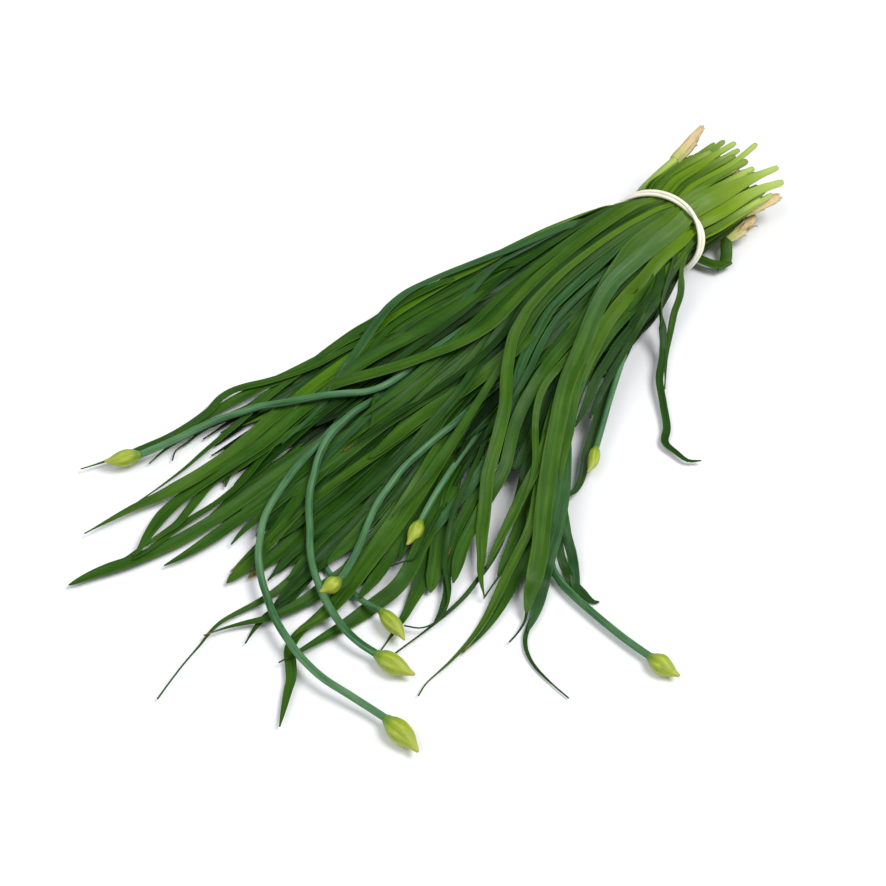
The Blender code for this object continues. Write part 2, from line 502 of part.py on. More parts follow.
# Where the band runs at angle t round the neck, and how its two windings lie there:
# side by side, except where one crosses over the other
def band_line(samples):
    turn = np.linspace(0, 4 * np.pi, samples, endpoint=False)
    twist = 1.5 * turn + 0.42 * np.sin(3 * turn)
    aside = BAND_BESIDE * np.cos(twist + np.pi * 0.1)
    above = BAND_OVER * np.sin(twist + np.pi * 0.1)
    angle = turn + np.radians(35)
    wide = BAND_HALF_WIDTH + above
    tall = BAND_HALF_HEIGHT + above
    y = wide * np.cos(angle)
    z = BAND_BOTTOM + BAND_HALF_HEIGHT + tall * np.sin(angle)
    x = band_x(y, z) + aside
    z = np.maximum(z, BAND_RADIUS + 0.05)
    return np.stack([x, y, z], axis=1)


# Faces between the rings of a closed loop
def closed_skin(bm, rings):
    rows = [[bm.verts.new(Vector(p) * MM) for p in ring] for ring in rings]
    for k, a in enumerate(rows):
        b = rows[(k + 1) % len(rows)]
        for i in range(len(a)):
            j = (i + 1) % len(a)
            bm.faces.new((a[i], a[j], b[j], b[i]))


# A tube round a closed line, each ring facing out from the middle of the neck
def hoop(name, line, half_x, half_out, sides, collection, start=0.0):
    middle = np.array([0.0, 0.0, BAND_BOTTOM + BAND_HALF_HEIGHT])
    along = np.roll(line, -1, axis=0) - np.roll(line, 1, axis=0)
    along /= np.linalg.norm(along, axis=1)[:, None]
    rings = []
    for point, direction in zip(line, along):
        out = point - middle
        out[0] = 0
        out -= direction * np.dot(out, direction)
        out /= np.linalg.norm(out)
        side = np.cross(direction, out)
        angles = 2 * np.pi * np.arange(sides) / sides + start
        rings.append([point + side * half_x * np.cos(a) + out * half_out * np.sin(a) for a in angles])
    bm = bmesh.new()
    closed_skin(bm, rings)
    return new_object(name, bm, collection)


# The room that the band takes in the neck: a plain oval hoop, wide enough for both windings
def band_room(collection):
    angle = np.linspace(0, 2 * np.pi, 24, endpoint=False)
    y = BAND_HALF_WIDTH * np.cos(angle)
    z = BAND_BOTTOM + BAND_HALF_HEIGHT * (1 + np.sin(angle))
    line = np.stack([band_x(y, z), y, z], axis=1)
    corner = np.sqrt(2)
    half_x = corner * (BAND_BESIDE + BAND_RADIUS + GAP + 0.2)
    half_out = corner * (BAND_OVER + BAND_RADIUS + GAP + 0.2)
    return hoop("band_room", line, half_x, half_out, 4, collection, np.pi / 4)


# Joins the collection's objects to the target, or cuts them out of it, and removes them.
# The quick solver serves here, because every body that goes in is closed.
def apply_boolean(target, collection, operation):
    cut = target.modifiers.new("join", "BOOLEAN")
    cut.operation = operation
    cut.operand_type = "COLLECTION"
    cut.collection = collection
    cut.solver = "MANIFOLD"
    evaluated = target.evaluated_get(bpy.context.evaluated_depsgraph_get())
    mesh = bpy.data.meshes.new_from_object(evaluated)
    target.modifiers.remove(cut)
    target.data = mesh
    for thing in list(collection.objects):
        bpy.data.objects.remove(thing)


# Keeps the outer skin and drops the loose scraps and sealed hollows that joining leaves
def keep_largest(target):
    bm = bmesh.new()
    bm.from_mesh(target.data)
    unseen = set(bm.faces)
    skins = []
    while unseen:
        found = [unseen.pop()]
        for face in found:
            for edge in face.edges:
                for other in edge.link_faces:
                    if other in unseen:
                        unseen.discard(other)
                        found.append(other)
        skins.append(found)
    skins.sort(key=len)
    spare = [face for found in skins[:-1] for face in found]
    bmesh.ops.delete(bm, geom=spare, context="FACES")
    bmesh.ops.triangulate(bm, faces=bm.faces)
    bm.to_mesh(target.data)
    bm.free()


def material(name, colour, roughness):
    made = bpy.data.materials.new(name)
    made.use_nodes = True
    shader = made.node_tree.nodes["Principled BSDF"]
    shader.inputs["Base Color"].default_value = (*colour, 1.0)
    shader.inputs["Roughness"].default_value = roughness
    shader.inputs["Metallic"].default_value = 0.0
    return made


def clear_scene():
    for thing in list(bpy.data.objects):
        bpy.data.objects.remove(thing)


def new_collection(name):
    made = bpy.data.collections.new(name)
    bpy.context.scene.collection.children.link(made)
    return made


def main():
    clear_scene()
    parts = new_collection("garlic_chives")
    blades = new_collection("blades")
    rooms = new_collection("rooms")
    rng = np.random.default_rng(SEED)

    green = material("leaf_green", (0.075, 0.17, 0.035), 0.45)
    stem = material("stalk_green", (0.16, 0.30, 0.06), 0.45)
    dry = material("dry_sheath", (0.58, 0.40, 0.24), 0.85)
    cream = material("band_cream", (0.90, 0.87, 0.76), 0.55)

    lines = [(0.5 * width, stalk_line(neck, lift, route)) for width, neck, lift, route, tip, bud in STALKS]
    for i, (width, neck, lift, route, tip, bud) in enumerate(STALKS):
        line = lines[i][1]
        line = line[line[:, 0] >= neck[0]]
        made = stalk_body(f"flower_stalk_{i + 1}", line, width, tip, bud, 0.0, parts)
        made.data.materials.append(stem)
        stalk_body(f"stalk_room_{i + 1}", line, width, tip, bud, GAP, rooms)

    for i, (width, thick, route) in enumerate(SHEATHS):
        made = sheath_body(f"dry_sheath_{i + 1}", width, thick, route, 0.0, parts)
        made.data.materials.append(dry)
        sheath_body(f"sheath_room_{i + 1}", width, thick, route, GAP, rooms)

    band = hoop("rubber_band", band_line(BAND_SAMPLES), BAND_RADIUS, BAND_RADIUS, BAND_SIDES, parts)
    band.data.materials.append(cream)
    band_room(rooms)

    for i, (width, lift, route) in enumerate(LEAVES):
        line = bent_clear(leaf_line(route, lift, rng), width, lines)
        blade(f"leaf_{i}", line, width, blades)
    for i, way in enumerate(FOLDED_LEAF):
        blade(f"folded_leaf_{i}", smooth(way, LINE_SAMPLES), FOLDED_WIDTH, blades, tapers=False)
    for i, (width, line) in enumerate(filler_lines(rng)):
        blade(f"inner_leaf_{i}", bent_clear(line, width, lines), width, blades)

    bunch = core_body(parts)
    apply_boolean(bunch, blades, "UNION")
    apply_boolean(bunch, rooms, "DIFFERENCE")
    keep_largest(bunch)
    bunch.data.materials.append(green)
    for emptied in (blades, rooms):
        bpy.data.collections.remove(emptied)


main()
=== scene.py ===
# Garlic chives in a bunch: fine leaves, flower stalks, buds, rubber band and dry sheaths
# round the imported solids. +X runs from the tie to the tips, +Y to the near side and +Z up.
# Routes and sizes below are in millimetres in that plan, and the meshes are in metres.

import math
import bpy
import numpy as np
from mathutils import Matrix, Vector


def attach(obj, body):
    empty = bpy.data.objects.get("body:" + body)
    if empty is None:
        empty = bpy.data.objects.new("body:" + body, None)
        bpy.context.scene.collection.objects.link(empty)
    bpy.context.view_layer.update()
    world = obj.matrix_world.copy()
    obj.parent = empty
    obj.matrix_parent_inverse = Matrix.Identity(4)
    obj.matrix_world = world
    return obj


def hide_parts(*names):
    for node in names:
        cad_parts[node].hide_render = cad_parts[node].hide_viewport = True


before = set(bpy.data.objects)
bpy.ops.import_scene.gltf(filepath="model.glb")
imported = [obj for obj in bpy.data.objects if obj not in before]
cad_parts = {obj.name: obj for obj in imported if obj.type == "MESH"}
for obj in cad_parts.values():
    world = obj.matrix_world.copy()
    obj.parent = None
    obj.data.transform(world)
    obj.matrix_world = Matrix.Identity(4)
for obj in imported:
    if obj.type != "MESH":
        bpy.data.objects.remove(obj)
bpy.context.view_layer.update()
mm = 0.001
drawn = np.random.default_rng(11)          # every random draw below comes from here, in order
print("frame loaded:", len(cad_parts), "nodes")


# The view of the photograph, from the near side over the leaf tips
shot = {
    "azimuth": 135.0,
    "elevation": 47.0,
    "distance": 0.90,
    "target": (0.1555, 0.0160, 0.005),
    "lens": 85.04,
}


def placed(name, data):
    # an object in the scene that holds the data
    made = bpy.data.objects.new(name, data)
    bpy.context.scene.collection.objects.link(made)
    return made


def aimed(name, data, form):
    # a camera or lamp that stands in the form's direction from the target and looks at it
    a, e = math.radians(form["azimuth"]), math.radians(form["elevation"])
    way = Vector((math.sin(a) * math.cos(e), -math.cos(a) * math.cos(e), math.sin(e)))
    made = placed(name, data)
    made.location = Vector(shot["target"]) + way * form["distance"]
    made.rotation_euler = (-way).to_track_quat("-Z", "Y").to_euler()
    return made


def placeCamera():
    data = bpy.data.cameras.new("camera")
    data.lens = shot["lens"]
    bpy.context.scene.camera = aimed("camera", data, shot)


placeCamera()


# The pile of leaves, as the solids have it
pileForm = {
    "neckHalfWidth": 23.0,
    "neckHeight": 36.0,
    "fanLength": 240.0,
    "tipHeight": 4.0,
    "base": 1.0,
    "nearSpread": (0.28, 0.0009),
    "farSpread": 0.30,
    "cutSlope": (-10, 0.12),        # from here the crown sinks toward the cut ends, at this slope
    "tiedReach": 40.0,      # over this length the neck's own shape fades out
    "nearRim": (0.12, 0.38),        # height of the rim as a share of the crown's, and what the tie adds
    "farRim": (0.65, -0.15),
    "rimFade": 3.0,         # how fast the far rim sinks past the edge
    "footReach": 70.0,      # over this length the edges come down to the table
    "footRise": 0.46,       # how high they stand at the tie, as a share of the neck's height
    "footPower": 1.3,
    "lowest": 0.9,
    "steepest": (0.5, 1.0),         # slopes along and across that a laid leaf still follows
    "sightLean": 0.66,      # what lies d higher is set this share of d toward +X and +Y
}


def nearEdge(x):
    # half the neck's width, and ahead of the tie a slope and a bend by the square of the way
    ahead = np.clip(x, 0, None)
    slope, bend = pileForm["nearSpread"]
    return pileForm["neckHalfWidth"] + slope * ahead + bend * ahead ** 2


def farEdge(x):
    # half the neck's width, and a slope ahead of the tie
    return pileForm["neckHalfWidth"] + pileForm["farSpread"] * np.clip(x, 0, None)


def pileTop(x, y):
    # a hump across the bunch that sinks along it by half a cosine wave, and at the neck is the
    # upper half of an oval
    form = pileForm
    x, y = np.asarray(x, float), np.asarray(y, float)
    low, high = form["tipHeight"], form["neckHeight"]
    crown = low + (high - low) * 0.5 * (1 + np.cos(np.pi * np.clip(x / form["fanLength"], 0, 1)))
    sinksFrom, slope = form["cutSlope"]
    crown = np.where(x < sinksFrom, high + slope * (x - sinksFrom), crown)
    tied = np.clip(1 - x / form["tiedReach"], 0, 1)
    across = np.where(y > 0, y / nearEdge(x), -y / farEdge(x))
    dome = np.sqrt(np.clip(1 - across ** 2, 0, 1))
    near, far = (rim + byTie * tied for rim, byTie in (form["nearRim"], form["farRim"]))
    far = np.where(across > 1, far * np.exp(-form["rimFade"] * (across - 1).clip(0, None)), far)
    rim = np.where(y > 0, near, far)
    return form["base"] + (crown - form["base"]) * (rim + (1 - rim) * dome)


def pileFoot(x, across):
    # the under side: an oval flattened on the table at the neck, and the table itself further out
    form = pileForm
    tied = np.clip(1 - np.asarray(x, float) / form["footReach"], 0, 1)
    rounded = 1 - np.sqrt(np.clip(1 - np.asarray(across, float) ** 2, 0, 1))
    return form["lowest"] + form["footRise"] * form["neckHeight"] * tied * rounded ** form["footPower"]


def pileNormal(points):
    # which way is up for a leaf laid on the pile, from the slope of its top, held to that of a laid leaf
    x, y = points[:, 0], points[:, 1]
    step = 2.0
    mostAlong, mostAcross = pileForm["steepest"]
    slopeX = np.clip((pileTop(x + step, y) - pileTop(x - step, y)) / (2 * step), -mostAlong, mostAlong)
    slopeY = np.clip((pileTop(x, y + step) - pileTop(x, y - step)) / (2 * step), -mostAcross, mostAcross)
    return unit(np.stack([-slopeX, -slopeY, np.ones_like(x)], axis=1))


def onPile(x, y, up):
    # a point so far above the pile, moved with its height to stay in place seen from the camera
    lean = pileForm["sightLean"] * up
    return x + lean, y + lean, float(pileTop(x, y)) + up


def alongSight(points, rise):
    # raised points, moved with their height in the same way
    shift = pileForm["sightLean"] * rise
    return points + np.stack([shift, shift, rise], axis=1)


# The rubber band, as the solid has it: two windings that lie side by side and cross over
bandForm = {
    "radius": 0.95,
    "halfWidth": 22.7,
    "halfHeight": 17.5,
    "bottom": 1.1,
    "nearer": 1.0,          # its middle lies this far to the near side
    "place": 1.6,
    "slant": -0.50,         # its top leans toward the cut ends
    "yaw": -0.20,           # its near side is turned toward the cut ends
    "beside": 1.04,
    "over": 0.55,
    "squeeze": (0.76, 0.865, 1.16),  # shares of the way out: left alone, held at, and where that was
    "gripReach": 9.0,
}
bandMiddle = bandForm["bottom"] + bandForm["halfHeight"]


def bandX(y, z):
    # the band's plane, which leans by its height and turns by the way across
    return bandForm["place"] + bandForm["slant"] * (z - bandMiddle) + bandForm["yaw"] * y


def gripped(line):
    # draws a line in toward the middle of the neck by a bell curve round the band's plane, and squeezes
    # what stands out furthest until it passes under the band
    out = line.copy()
    off = (line[:, 0] - bandX(line[:, 1], line[:, 2])) / bandForm["gripReach"]
    bell = np.exp(-off ** 2)
    aside = line[:, 1] - bandForm["nearer"]
    ratio = np.hypot(aside / bandForm["halfWidth"], (line[:, 2] - bandMiddle) / bandForm["halfHeight"])
    ratio = np.maximum(ratio, 1e-6)
    free, held, widest = bandForm["squeeze"]
    tight = np.where(ratio < free, ratio, free + (ratio - free) * (held - free) / (widest - free))
    share = 1 + (np.minimum(tight / ratio, 1) - 1) * bell
    out[:, 1] = bandForm["nearer"] + aside * share
    out[:, 2] = bandMiddle + (line[:, 2] - bandMiddle) * share
    return out


# Lines
upward = np.array([0.0, 0.0, 1.0])


def unit(vectors):
    # each vector over its own length
    return vectors / np.maximum(np.linalg.norm(vectors, axis=-1, keepdims=True), 1e-9)


def rising(share):
    # a smooth step from 0 to 1
    share = np.clip(share, 0, 1)
    return share * share * (3 - 2 * share)


def smoothLine(points, samples):
    # a cubic through the points, its knots spaced by the square root of the distance between them
    points = np.asarray(points, float)
    knots = np.concatenate([[0.0], np.cumsum(np.sqrt(np.linalg.norm(np.diff(points, axis=0), axis=1)))])
    slopes = np.gradient(points, knots, axis=0)
    at = np.linspace(0, knots[-1], samples)
    i = np.clip(np.searchsorted(knots, at, side="right") - 1, 0, len(knots) - 2)
    span = (knots[i + 1] - knots[i])[:, None]
    t = (at - knots[i])[:, None] / span
    start = (1 + 2 * t) * (1 - t) ** 2 * points[i] + t * (1 - t) ** 2 * span * slopes[i]
    end = t * t * (3 - 2 * t) * points[i + 1] + t * t * (t - 1) * span * slopes[i + 1]
    return start + end


def evenLine(line, every):
    # the same line with its points a fixed distance apart, and the distance of each from the start
    run = np.concatenate([[0.0], np.cumsum(np.linalg.norm(np.diff(line, axis=0), axis=1))])
    at = np.linspace(0, run[-1], max(int(run[-1] / every), 6))
    return np.stack([np.interp(at, run, line[:, k]) for k in range(3)], axis=1), at


def directions(line):
    # the way from each point's neighbour to the next one
    return unit(np.gradient(line, axis=0))


def tubeFrame(points):
    # directions along a line, level to its side, and square to both
    along = directions(points)
    side = unit(np.cross(upward, along))
    return along, side, np.cross(along, side)


# Meshes from whole arrays. A skin holds points, faces, and for each point its place on the map and four
# numbers that the materials read.
mapUnit = 100.0             # so many millimetres along a leaf are 1 on its map


def circle(count):
    # angles evenly round a circle
    return 2 * np.pi * np.arange(count) / count


def together(*values):
    # arrays and numbers spread to one shape and stacked along a last axis
    return np.stack(np.broadcast_arrays(*values), axis=-1)


def ringsRound(line, side, top, angle, wide, high):
    # a ring round each point of a line: the width times the cosine to the side, and the height times
    # the sine to the top
    side, top = np.broadcast_to(side, line.shape), np.broadcast_to(top, line.shape)
    return (line[:, None, :] + (wide * np.cos(angle))[..., None] * side[:, None, :]
            + (high * np.sin(angle))[..., None] * top[:, None, :])


def ringFaces(rings, around, loopAlong=False):
    # quads between each ring of points and the next
    i = np.arange(rings if loopAlong else rings - 1)[:, None]
    j = np.arange(around)[None, :]
    here, there = (i % rings) * around, ((i + 1) % rings) * around
    right = (j + 1) % around
    return np.stack([here + j, here + right, there + right, there + j], axis=-1).reshape(-1, 4)


def fanFaces(centre, first, around, outward):
    # triangles from a centre point to one ring
    j = np.arange(around)
    a, b = first + j, first + (j + 1) % around
    return np.stack([np.full(around, centre), *((a, b) if outward else (b, a))], axis=-1)


def outwardStep(verts, quads):
    # 1 where the faces of a closed skin look outward, so that the volume under them is positive, and
    # else -1: the step that turns their corners the right way round
    a, b, c = (verts[quads[:, k]] for k in range(3))
    return -1 if np.einsum("ij,ij->i", a, np.cross(b - a, c - a)).sum() < 0 else 1


def closedLoft(rings, uv, data):
    # a skin over rings of points (n, m, 3), closed by a point at both ends
    n, m = rings.shape[:2]
    skin = {"verts": rings, "uv": np.broadcast_to(uv, (n, m, 2)), "data": np.broadcast_to(data, (n, m, 4))}
    for key, values in skin.items():
        ends = np.stack([values[0].mean(axis=0), values[-1].mean(axis=0)])
        skin[key] = np.concatenate([values.reshape(n * m, -1), ends])
    quads = ringFaces(n, m)
    tris = np.concatenate([fanFaces(n * m, 0, m, False), fanFaces(n * m + 1, (n - 1) * m, m, True)])
    step = outwardStep(skin["verts"], quads)
    return {**skin, "quads": quads[:, ::step], "tris": tris[:, ::step]}


def joined(skins):
    # several skins as one, with their face numbers moved on
    whole = {key: np.concatenate([skin[key] for skin in skins]) for key in ("verts", "uv", "data")}
    firsts = np.cumsum([0] + [len(skin["verts"]) for skin in skins])
    for key in ("quads", "tris"):
        whole[key] = np.concatenate([skin[key] + first for skin, first in zip(skins, firsts)])
    return whole


def meshPiece(name, skin, material, slot, *nodes):
    # a skin as a mesh in metres, which rides on the part and stands in for the solid's nodes
    mesh = bpy.data.meshes.new(name)
    quads, tris = skin["quads"], skin["tris"]
    corners = np.concatenate([quads.ravel(), tris.ravel()]).astype(np.int32)
    starts = np.concatenate([np.arange(len(quads)) * 4, len(quads) * 4 + np.arange(len(tris)) * 3])
    mesh.vertices.add(len(skin["verts"]))
    mesh.loops.add(len(corners))
    mesh.polygons.add(len(starts))
    mesh.vertices.foreach_set("co", (skin["verts"] * mm).astype(np.float32).ravel())
    mesh.loops.foreach_set("vertex_index", corners)
    mesh.polygons.foreach_set("loop_start", starts.astype(np.int32))
    mesh.polygons.foreach_set("use_smooth", np.ones(len(starts), bool))
    layer = mesh.uv_layers.new(name="bladeMap")
    layer.data.foreach_set("uv", skin["uv"][corners].astype(np.float32).ravel())
    colours = mesh.color_attributes.new("bladeData", "FLOAT_COLOR", "POINT")
    colours.data.foreach_set("color", skin["data"].astype(np.float32).ravel())
    mesh.update(calc_edges=True)
    mesh.validate()
    mesh.materials.append(material)
    piece = placed(name, mesh)
    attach(piece, "root")
    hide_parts(*nodes)


# Leaves: tone, how pale the cut end is, width, length over which it narrows to the tip, how far it
# lies above the pile, its route from the cut end to the tip, and for some how far along they open out
leafRoutes = [
    ("pale", 1, 5.4, 30, 0, [(-41.5, -21, 29), (-36, -20.5, 28.5), (-27, -20.5, 27.5), (-17, -20.5, 26),
        (-5.5, -19.5, 24.5), (8, -19.5, 23), (25, -21, 22), (50, -24, 21), (80, -28, 18)]),
    ("greyGreen", 1.1, 7.4, 20, 1.8, [(-69, 15.3), (-58, 14.2), (-45, 13.3), (-30, 13), (-12, 13.3),
        (0, 14), (20, 15), (40, 16), (50, 17), (60, 19.5), (70, 23.5), (80, 28), (90, 32.4), (100, 36.8),
        (110, 42.4), (120, 49), (130, 55.6), (140, 62.6), (150, 70), (160, 78), (170, 86), (180, 93),
        (190, 99.5), (197, 104.6)]),
    ("olive", 0.2, 7, 30, 0.8, [(60, 21), (70, 24.4), (80, 28.8), (90, 34), (100, 39.6), (110, 46.5),
        (120, 54.2), (130, 61.5), (140, 69)]),
    ("mid", 1, 5.4, 11, 1, [(-57, 10), (-30, 9.6), (-12, 9.6), (0, 9.8), (10, 9.3), (20, 8.8), (30, 9.5),
        (43, 12.5), (55, 16), (65, 19.5), (75, 22.5), (85, 24.3), (95, 25.5), (105, 27.2), (115, 30),
        (125, 33.3), (135, 38), (145, 44.5), (152, 49), (160, 52), (168, 54.5), (175, 57), (183, 60),
        (190, 62.8), (196, 66.2), (201.5, 69.8), (207, 73.4)]),
    ("mid", 0.3, 5, 14, 0.3, [(110, 21), (125, 29), (138, 35), (150, 41.5), (160, 45.5), (170, 49),
        (180, 53), (187, 55.6), (193, 59), (200.5, 64)]),
    ("olive", 2.2, 6.6, 30, 0.8, [(-67, 20.8), (-50, 18.8), (-30, 18.3), (-12, 18.6), (0, 18.8), (20, 20.2),
        (35, 22.8), (50, 25), (60, 27), (70, 29.6), (80, 33), (95, 39), (110, 46.5), (125, 56)]),
    ("dark", 0.1, 1.4, 20, 0.9, [(190, 99), (196, 104), (200, 106.8), (206, 108.8), (212, 109.7)]),
    ("bright", 1, 3.8, 30, -0.7, [(-58, 22), (-30, 22), (-12, 22), (0, 22.4), (10, 23.4), (27, 25.5),
        (43, 28.5), (60, 31.5), (75, 34.5), (90, 40), (100, 44.6), (110, 50.4), (118, 55.4)]),
    ("glaucous", 0, 6.8, 26, 0.6, [(90, 37), (100, 41.5), (110, 46.5), (118, 51.5), (124, 56.3), (130, 62),
        (140, 70.8), (150, 78.3), (160, 84.8), (170, 90.6), (180, 97.4), (190, 104.5), (197, 108.3),
        (203, 111)]),
    ("dark", 0.1, 1.9, 34, 0.3, [(188, 103), (200, 109.3), (206, 112.8), (209.5, 116.5), (212, 121.5),
        (213, 126), (214, 134), (214.5, 144)]),
    ("dark", 1, 6, 26, 0, [(-50, 21.6), (-20, 21.4), (0, 22.3), (10, 24), (27, 28), (39, 31.6), (50, 34),
        (60, 37.8), (70, 41.6), (80, 45.6), (88, 49.2), (95, 52.8), (100, 55.8), (105, 58.6), (110, 61.4),
        (115, 64.2), (120, 66.8), (124, 69.4), (130, 73), (136, 75.4), (142, 76)], 130),
    ("mid", 0.3, 5, 30, 0.3, [(30, 25.5), (40, 27.6), (50, 29.3), (60, 31), (70, 33), (80, 35.6),
        (90, 38.7), (100, 43), (112, 50)]),
    ("dark", 0.3, 4, 20, 0.4, [(30, 27.5), (40, 30), (50, 33), (60, 35.7), (70, 38), (80, 41), (90, 44),
        (100, 48.6), (108, 52), (115, 54.6)]),
    ("dark", 0.3, 3.6, 12, 0.3, [(40, 31.5), (50, 34.5), (60, 38), (70, 41.5), (80, 45), (90, 48.6),
        (98, 52), (105.5, 55.4)]),
    ("glaucous", 0.2, 4.2, 9, 0.1, [(66, 29), (80, 33.5), (95, 38.5), (108, 44), (120, 51), (130, 59),
        (140, 68.5), (147, 77), (153, 84.5), (156.5, 89.7), (160, 95), (165, 101), (170, 106.5), (174, 111),
        (176.5, 113)]),
    ("dark", 0.2, 3.8, 8, 0, [(66, 30), (80, 34.5), (95, 40), (108, 46), (120, 53), (130, 60), (140, 69),
        (150, 78.5), (158, 85.5), (162, 89.5), (165, 93.5), (168, 99), (171, 105), (172.2, 111), (173, 117),
        (172.4, 119.7), (171, 120.8)]),
    ("olive", 0.2, 3, 26, 1.2, [(80, 28.5), (90, 29.4), (100, 30.6), (110, 32.4), (117.5, 35.6), (125, 41),
        (133, 48.5), (140, 55), (148, 60.5), (158, 65)]),
    ("olive", 0.3, 4.6, 26, 0.6, [(130, 52), (140, 57), (150, 60.7), (160, 64.7), (170, 69), (180, 72.7),
        (187, 75.5), (192.5, 78)]),
    ("mid", 0.3, 6.8, 22, 0.2, [(120, 47), (130, 53), (140, 59), (150, 65), (160, 70.3), (170, 75.3),
        (178, 78.8), (184, 81), (192, 84)]),
    ("dark", 0.2, 6, 9, 0, [(95, 25), (108, 29.5), (118, 33.5), (128, 38.5), (136, 42.4), (142, 44.8),
        (147, 47)]),
    ("dark", 0.2, 5.5, 9, 0, [(95, 30), (108, 36), (120, 41), (130, 46), (138, 49.4), (145, 51.2),
        (150, 51.8)]),
    ("dark", 0.2, 4, 8, 0, [(100, 34), (115, 41.5), (125, 46.5), (135, 51.4), (143, 54), (149, 57),
        (153, 60.5)]),
    ("mid", 0.2, 6, 14, 0.1, [(150, 10), (165, 15), (180, 19.5), (195, 23), (210, 26), (222, 28),
        (236, 29.5)]),
    ("dark", 0.1, 1.4, 24, 0.2, [(175, 79), (185, 82.5), (190, 84), (197, 85.8), (204, 87.7)]),
    ("olive", 0.3, 4, 60, 0.6, [(150, 66), (160, 73), (170, 78.5), (180, 82.5), (190, 86.5), (200, 91),
        (210, 95), (220, 97.8), (235, 100), (250, 101), (256, 103)]),
    ("mid", 0.3, 5.8, 46, 0.3, [(140, 61), (150, 68), (160, 75), (170, 82), (180, 87.5), (190, 91),
        (200, 95), (210, 98), (220, 99.8), (229, 100.4)]),
    ("glaucous", 0.4, 2.9, 30, 0.7, [(40, 11.6), (50, 11.2), (60, 11.4), (70, 11.9), (80, 13), (90, 15.3),
        (98, 18), (108, 22), (120, 26), (140, 31)]),
    ("glaucous", 0.5, 4.5, 40, 0.5, [(-50, 6), (-30, 5), (-12, 6.4), (0, 7.3), (10, 6), (20, 5), (30, 5.2),
        (40, 5.9), (60, 6.8), (70, 7), (80, 7.8), (90, 10.8), (100, 14.2), (110, 18.4), (120, 24.5),
        (130, 31), (145, 38), (165, 44), (190, 48), (205, 50.6), (220, 55), (235, 58)]),
    ("olive", 2, 5.6, 34, 2, [(-72, -0.6), (-62, 1), (-50, 2.3), (-30, 2), (-12, 2), (0, 2.5), (10, 1.5),
        (20, 0), (30, -1), (40, -1.7), (60, -2.5), (75, -1.7), (87, 0), (93, 2), (101, 5), (110, 11),
        (119, 18), (129, 27), (140, 34.3), (150, 40.5), (160, 46.8), (165, 51), (170, 55.3), (175, 59.5),
        (180, 63.5), (185, 68), (190, 72.8), (195, 77), (199, 81.5), (203, 87)], 225),
    ("dark", 0.8, 4.5, 24, 1, [(-62, -3), (-50, -3.2), (-30, -3.6), (-12, -2.5), (0, -1.5), (10, -3.5),
        (20, -5), (30, -6.8), (40, -7.8), (60, -8.3), (73, -8.3), (83, -5.8), (93, -4.2), (103, -1.7),
        (113, 0.8), (130, 6), (150, 9), (175, 12), (200, 14), (230, 15), (242.5, 15.8), (251, 17.5),
        (259, 19)]),
    ("olive", 0.9, 6, 44, 1.5, [(-66, -8.6), (-50, -8), (-30, -6.3), (-12, -5.8), (0, -6.5), (20, -8),
        (40, -9), (70, -9), (90, -7.5), (100, -6.7), (110, -8.3), (120, -11.7), (130, -16.7), (140, -21.7),
        (150, -27.5), (160, -34), (170, -40), (185, -46), (200, -46), (213.6, -45), (225, -44.3),
        (241, -44.6), (250, -45.5), (260, -47), (268, -49), (275, -50.5), (285, -52), (296, -53.5)]),
    ("mid", 0.5, 6, 26, 0.5, [(-66, -15), (-50, -12), (-30, -10), (-12, -8.8), (0, -9.5), (20, -10.5),
        (40, -11.7), (60, -12.5), (80, -11.7), (98, -12.5), (111, -10.8), (150, -10), (180, -13),
        (210, -15), (230, -13.5), (250, -14), (262, -14.2), (275, -15.2), (284, -16.8)]),
    ("mid", 0.4, 5.8, 18, 0.5, [(-64, -19), (-50, -17), (-30, -14.5), (-12, -12.5), (0, -12), (20, -14),
        (40, -15), (60, -16.7), (80, -18.3), (100, -18.3), (122, -16.7), (160, -17), (200, -20), (220, -21),
        (235, -21), (250, -21), (262, -21.8), (272, -23), (280, -24.8), (287, -26.6), (293, -28.3),
        (300, -31), (308, -33.8), (318, -36.3)]),
    ("mid", 0.3, 4, 24, 0.5, [(-45, -19), (-20, -16), (0, -15.3), (20, -17.5), (40, -20.5), (65, -21.7),
        (73, -26.7), (80, -30), (90, -33), (100, -36), (110, -39), (120, -41.7), (130, -43), (138, -41.7),
        (160, -37), (180, -37), (200, -36), (215, -33), (230, -29), (245, -27.5), (260, -28.3), (275, -28),
        (285, -27.8), (291, -28.5)]),
    ("bright", 0.3, 6, 40, 0, [(-50, -20.5), (-20, -18.8), (0, -18.4), (20, -22.5), (40, -28), (60, -33),
        (80, -38), (90, -41.7), (100, -43.8), (110, -45.8), (120, -47.5), (130, -48.3), (140, -47.8),
        (170, -47.5), (190, -48), (200, -50), (210, -53)]),
    ("glaucous", 0.3, 4, 40, 1, [(40, -22), (60, -27), (73, -30), (83, -29.6), (93, -28), (103, -26),
        (113, -23), (120, -21), (130, -19), (160, -16), (190, -13), (215, -11), (230, -9)]),
    ("mid", 0.3, 4.5, 40, 0.3, [(100, -45.4), (115, -50.2), (131, -51.8), (140, -53.8), (150, -55),
        (170, -56), (191, -57.8), (201, -58.3), (208, -60.4), (218, -63), (232, -66.3), (242, -66.6),
        (252, -65.2)]),
    ("glaucous", 0.3, 4, 40, 1.5, [(40, -23.6), (62, -32.3), (69, -36.2), (80, -41.6), (90, -46.6),
        (100, -50.8), (109, -53), (120, -52.6), (130, -50.4), (140, -47.2), (150, -44), (160, -41),
        (168, -38), (185, -34), (205, -32)]),
    ("mid", 0.3, 6.5, 24, 1, [(100, -24), (113, -26), (123, -30), (132, -32.5), (140, -35), (150, -37.5),
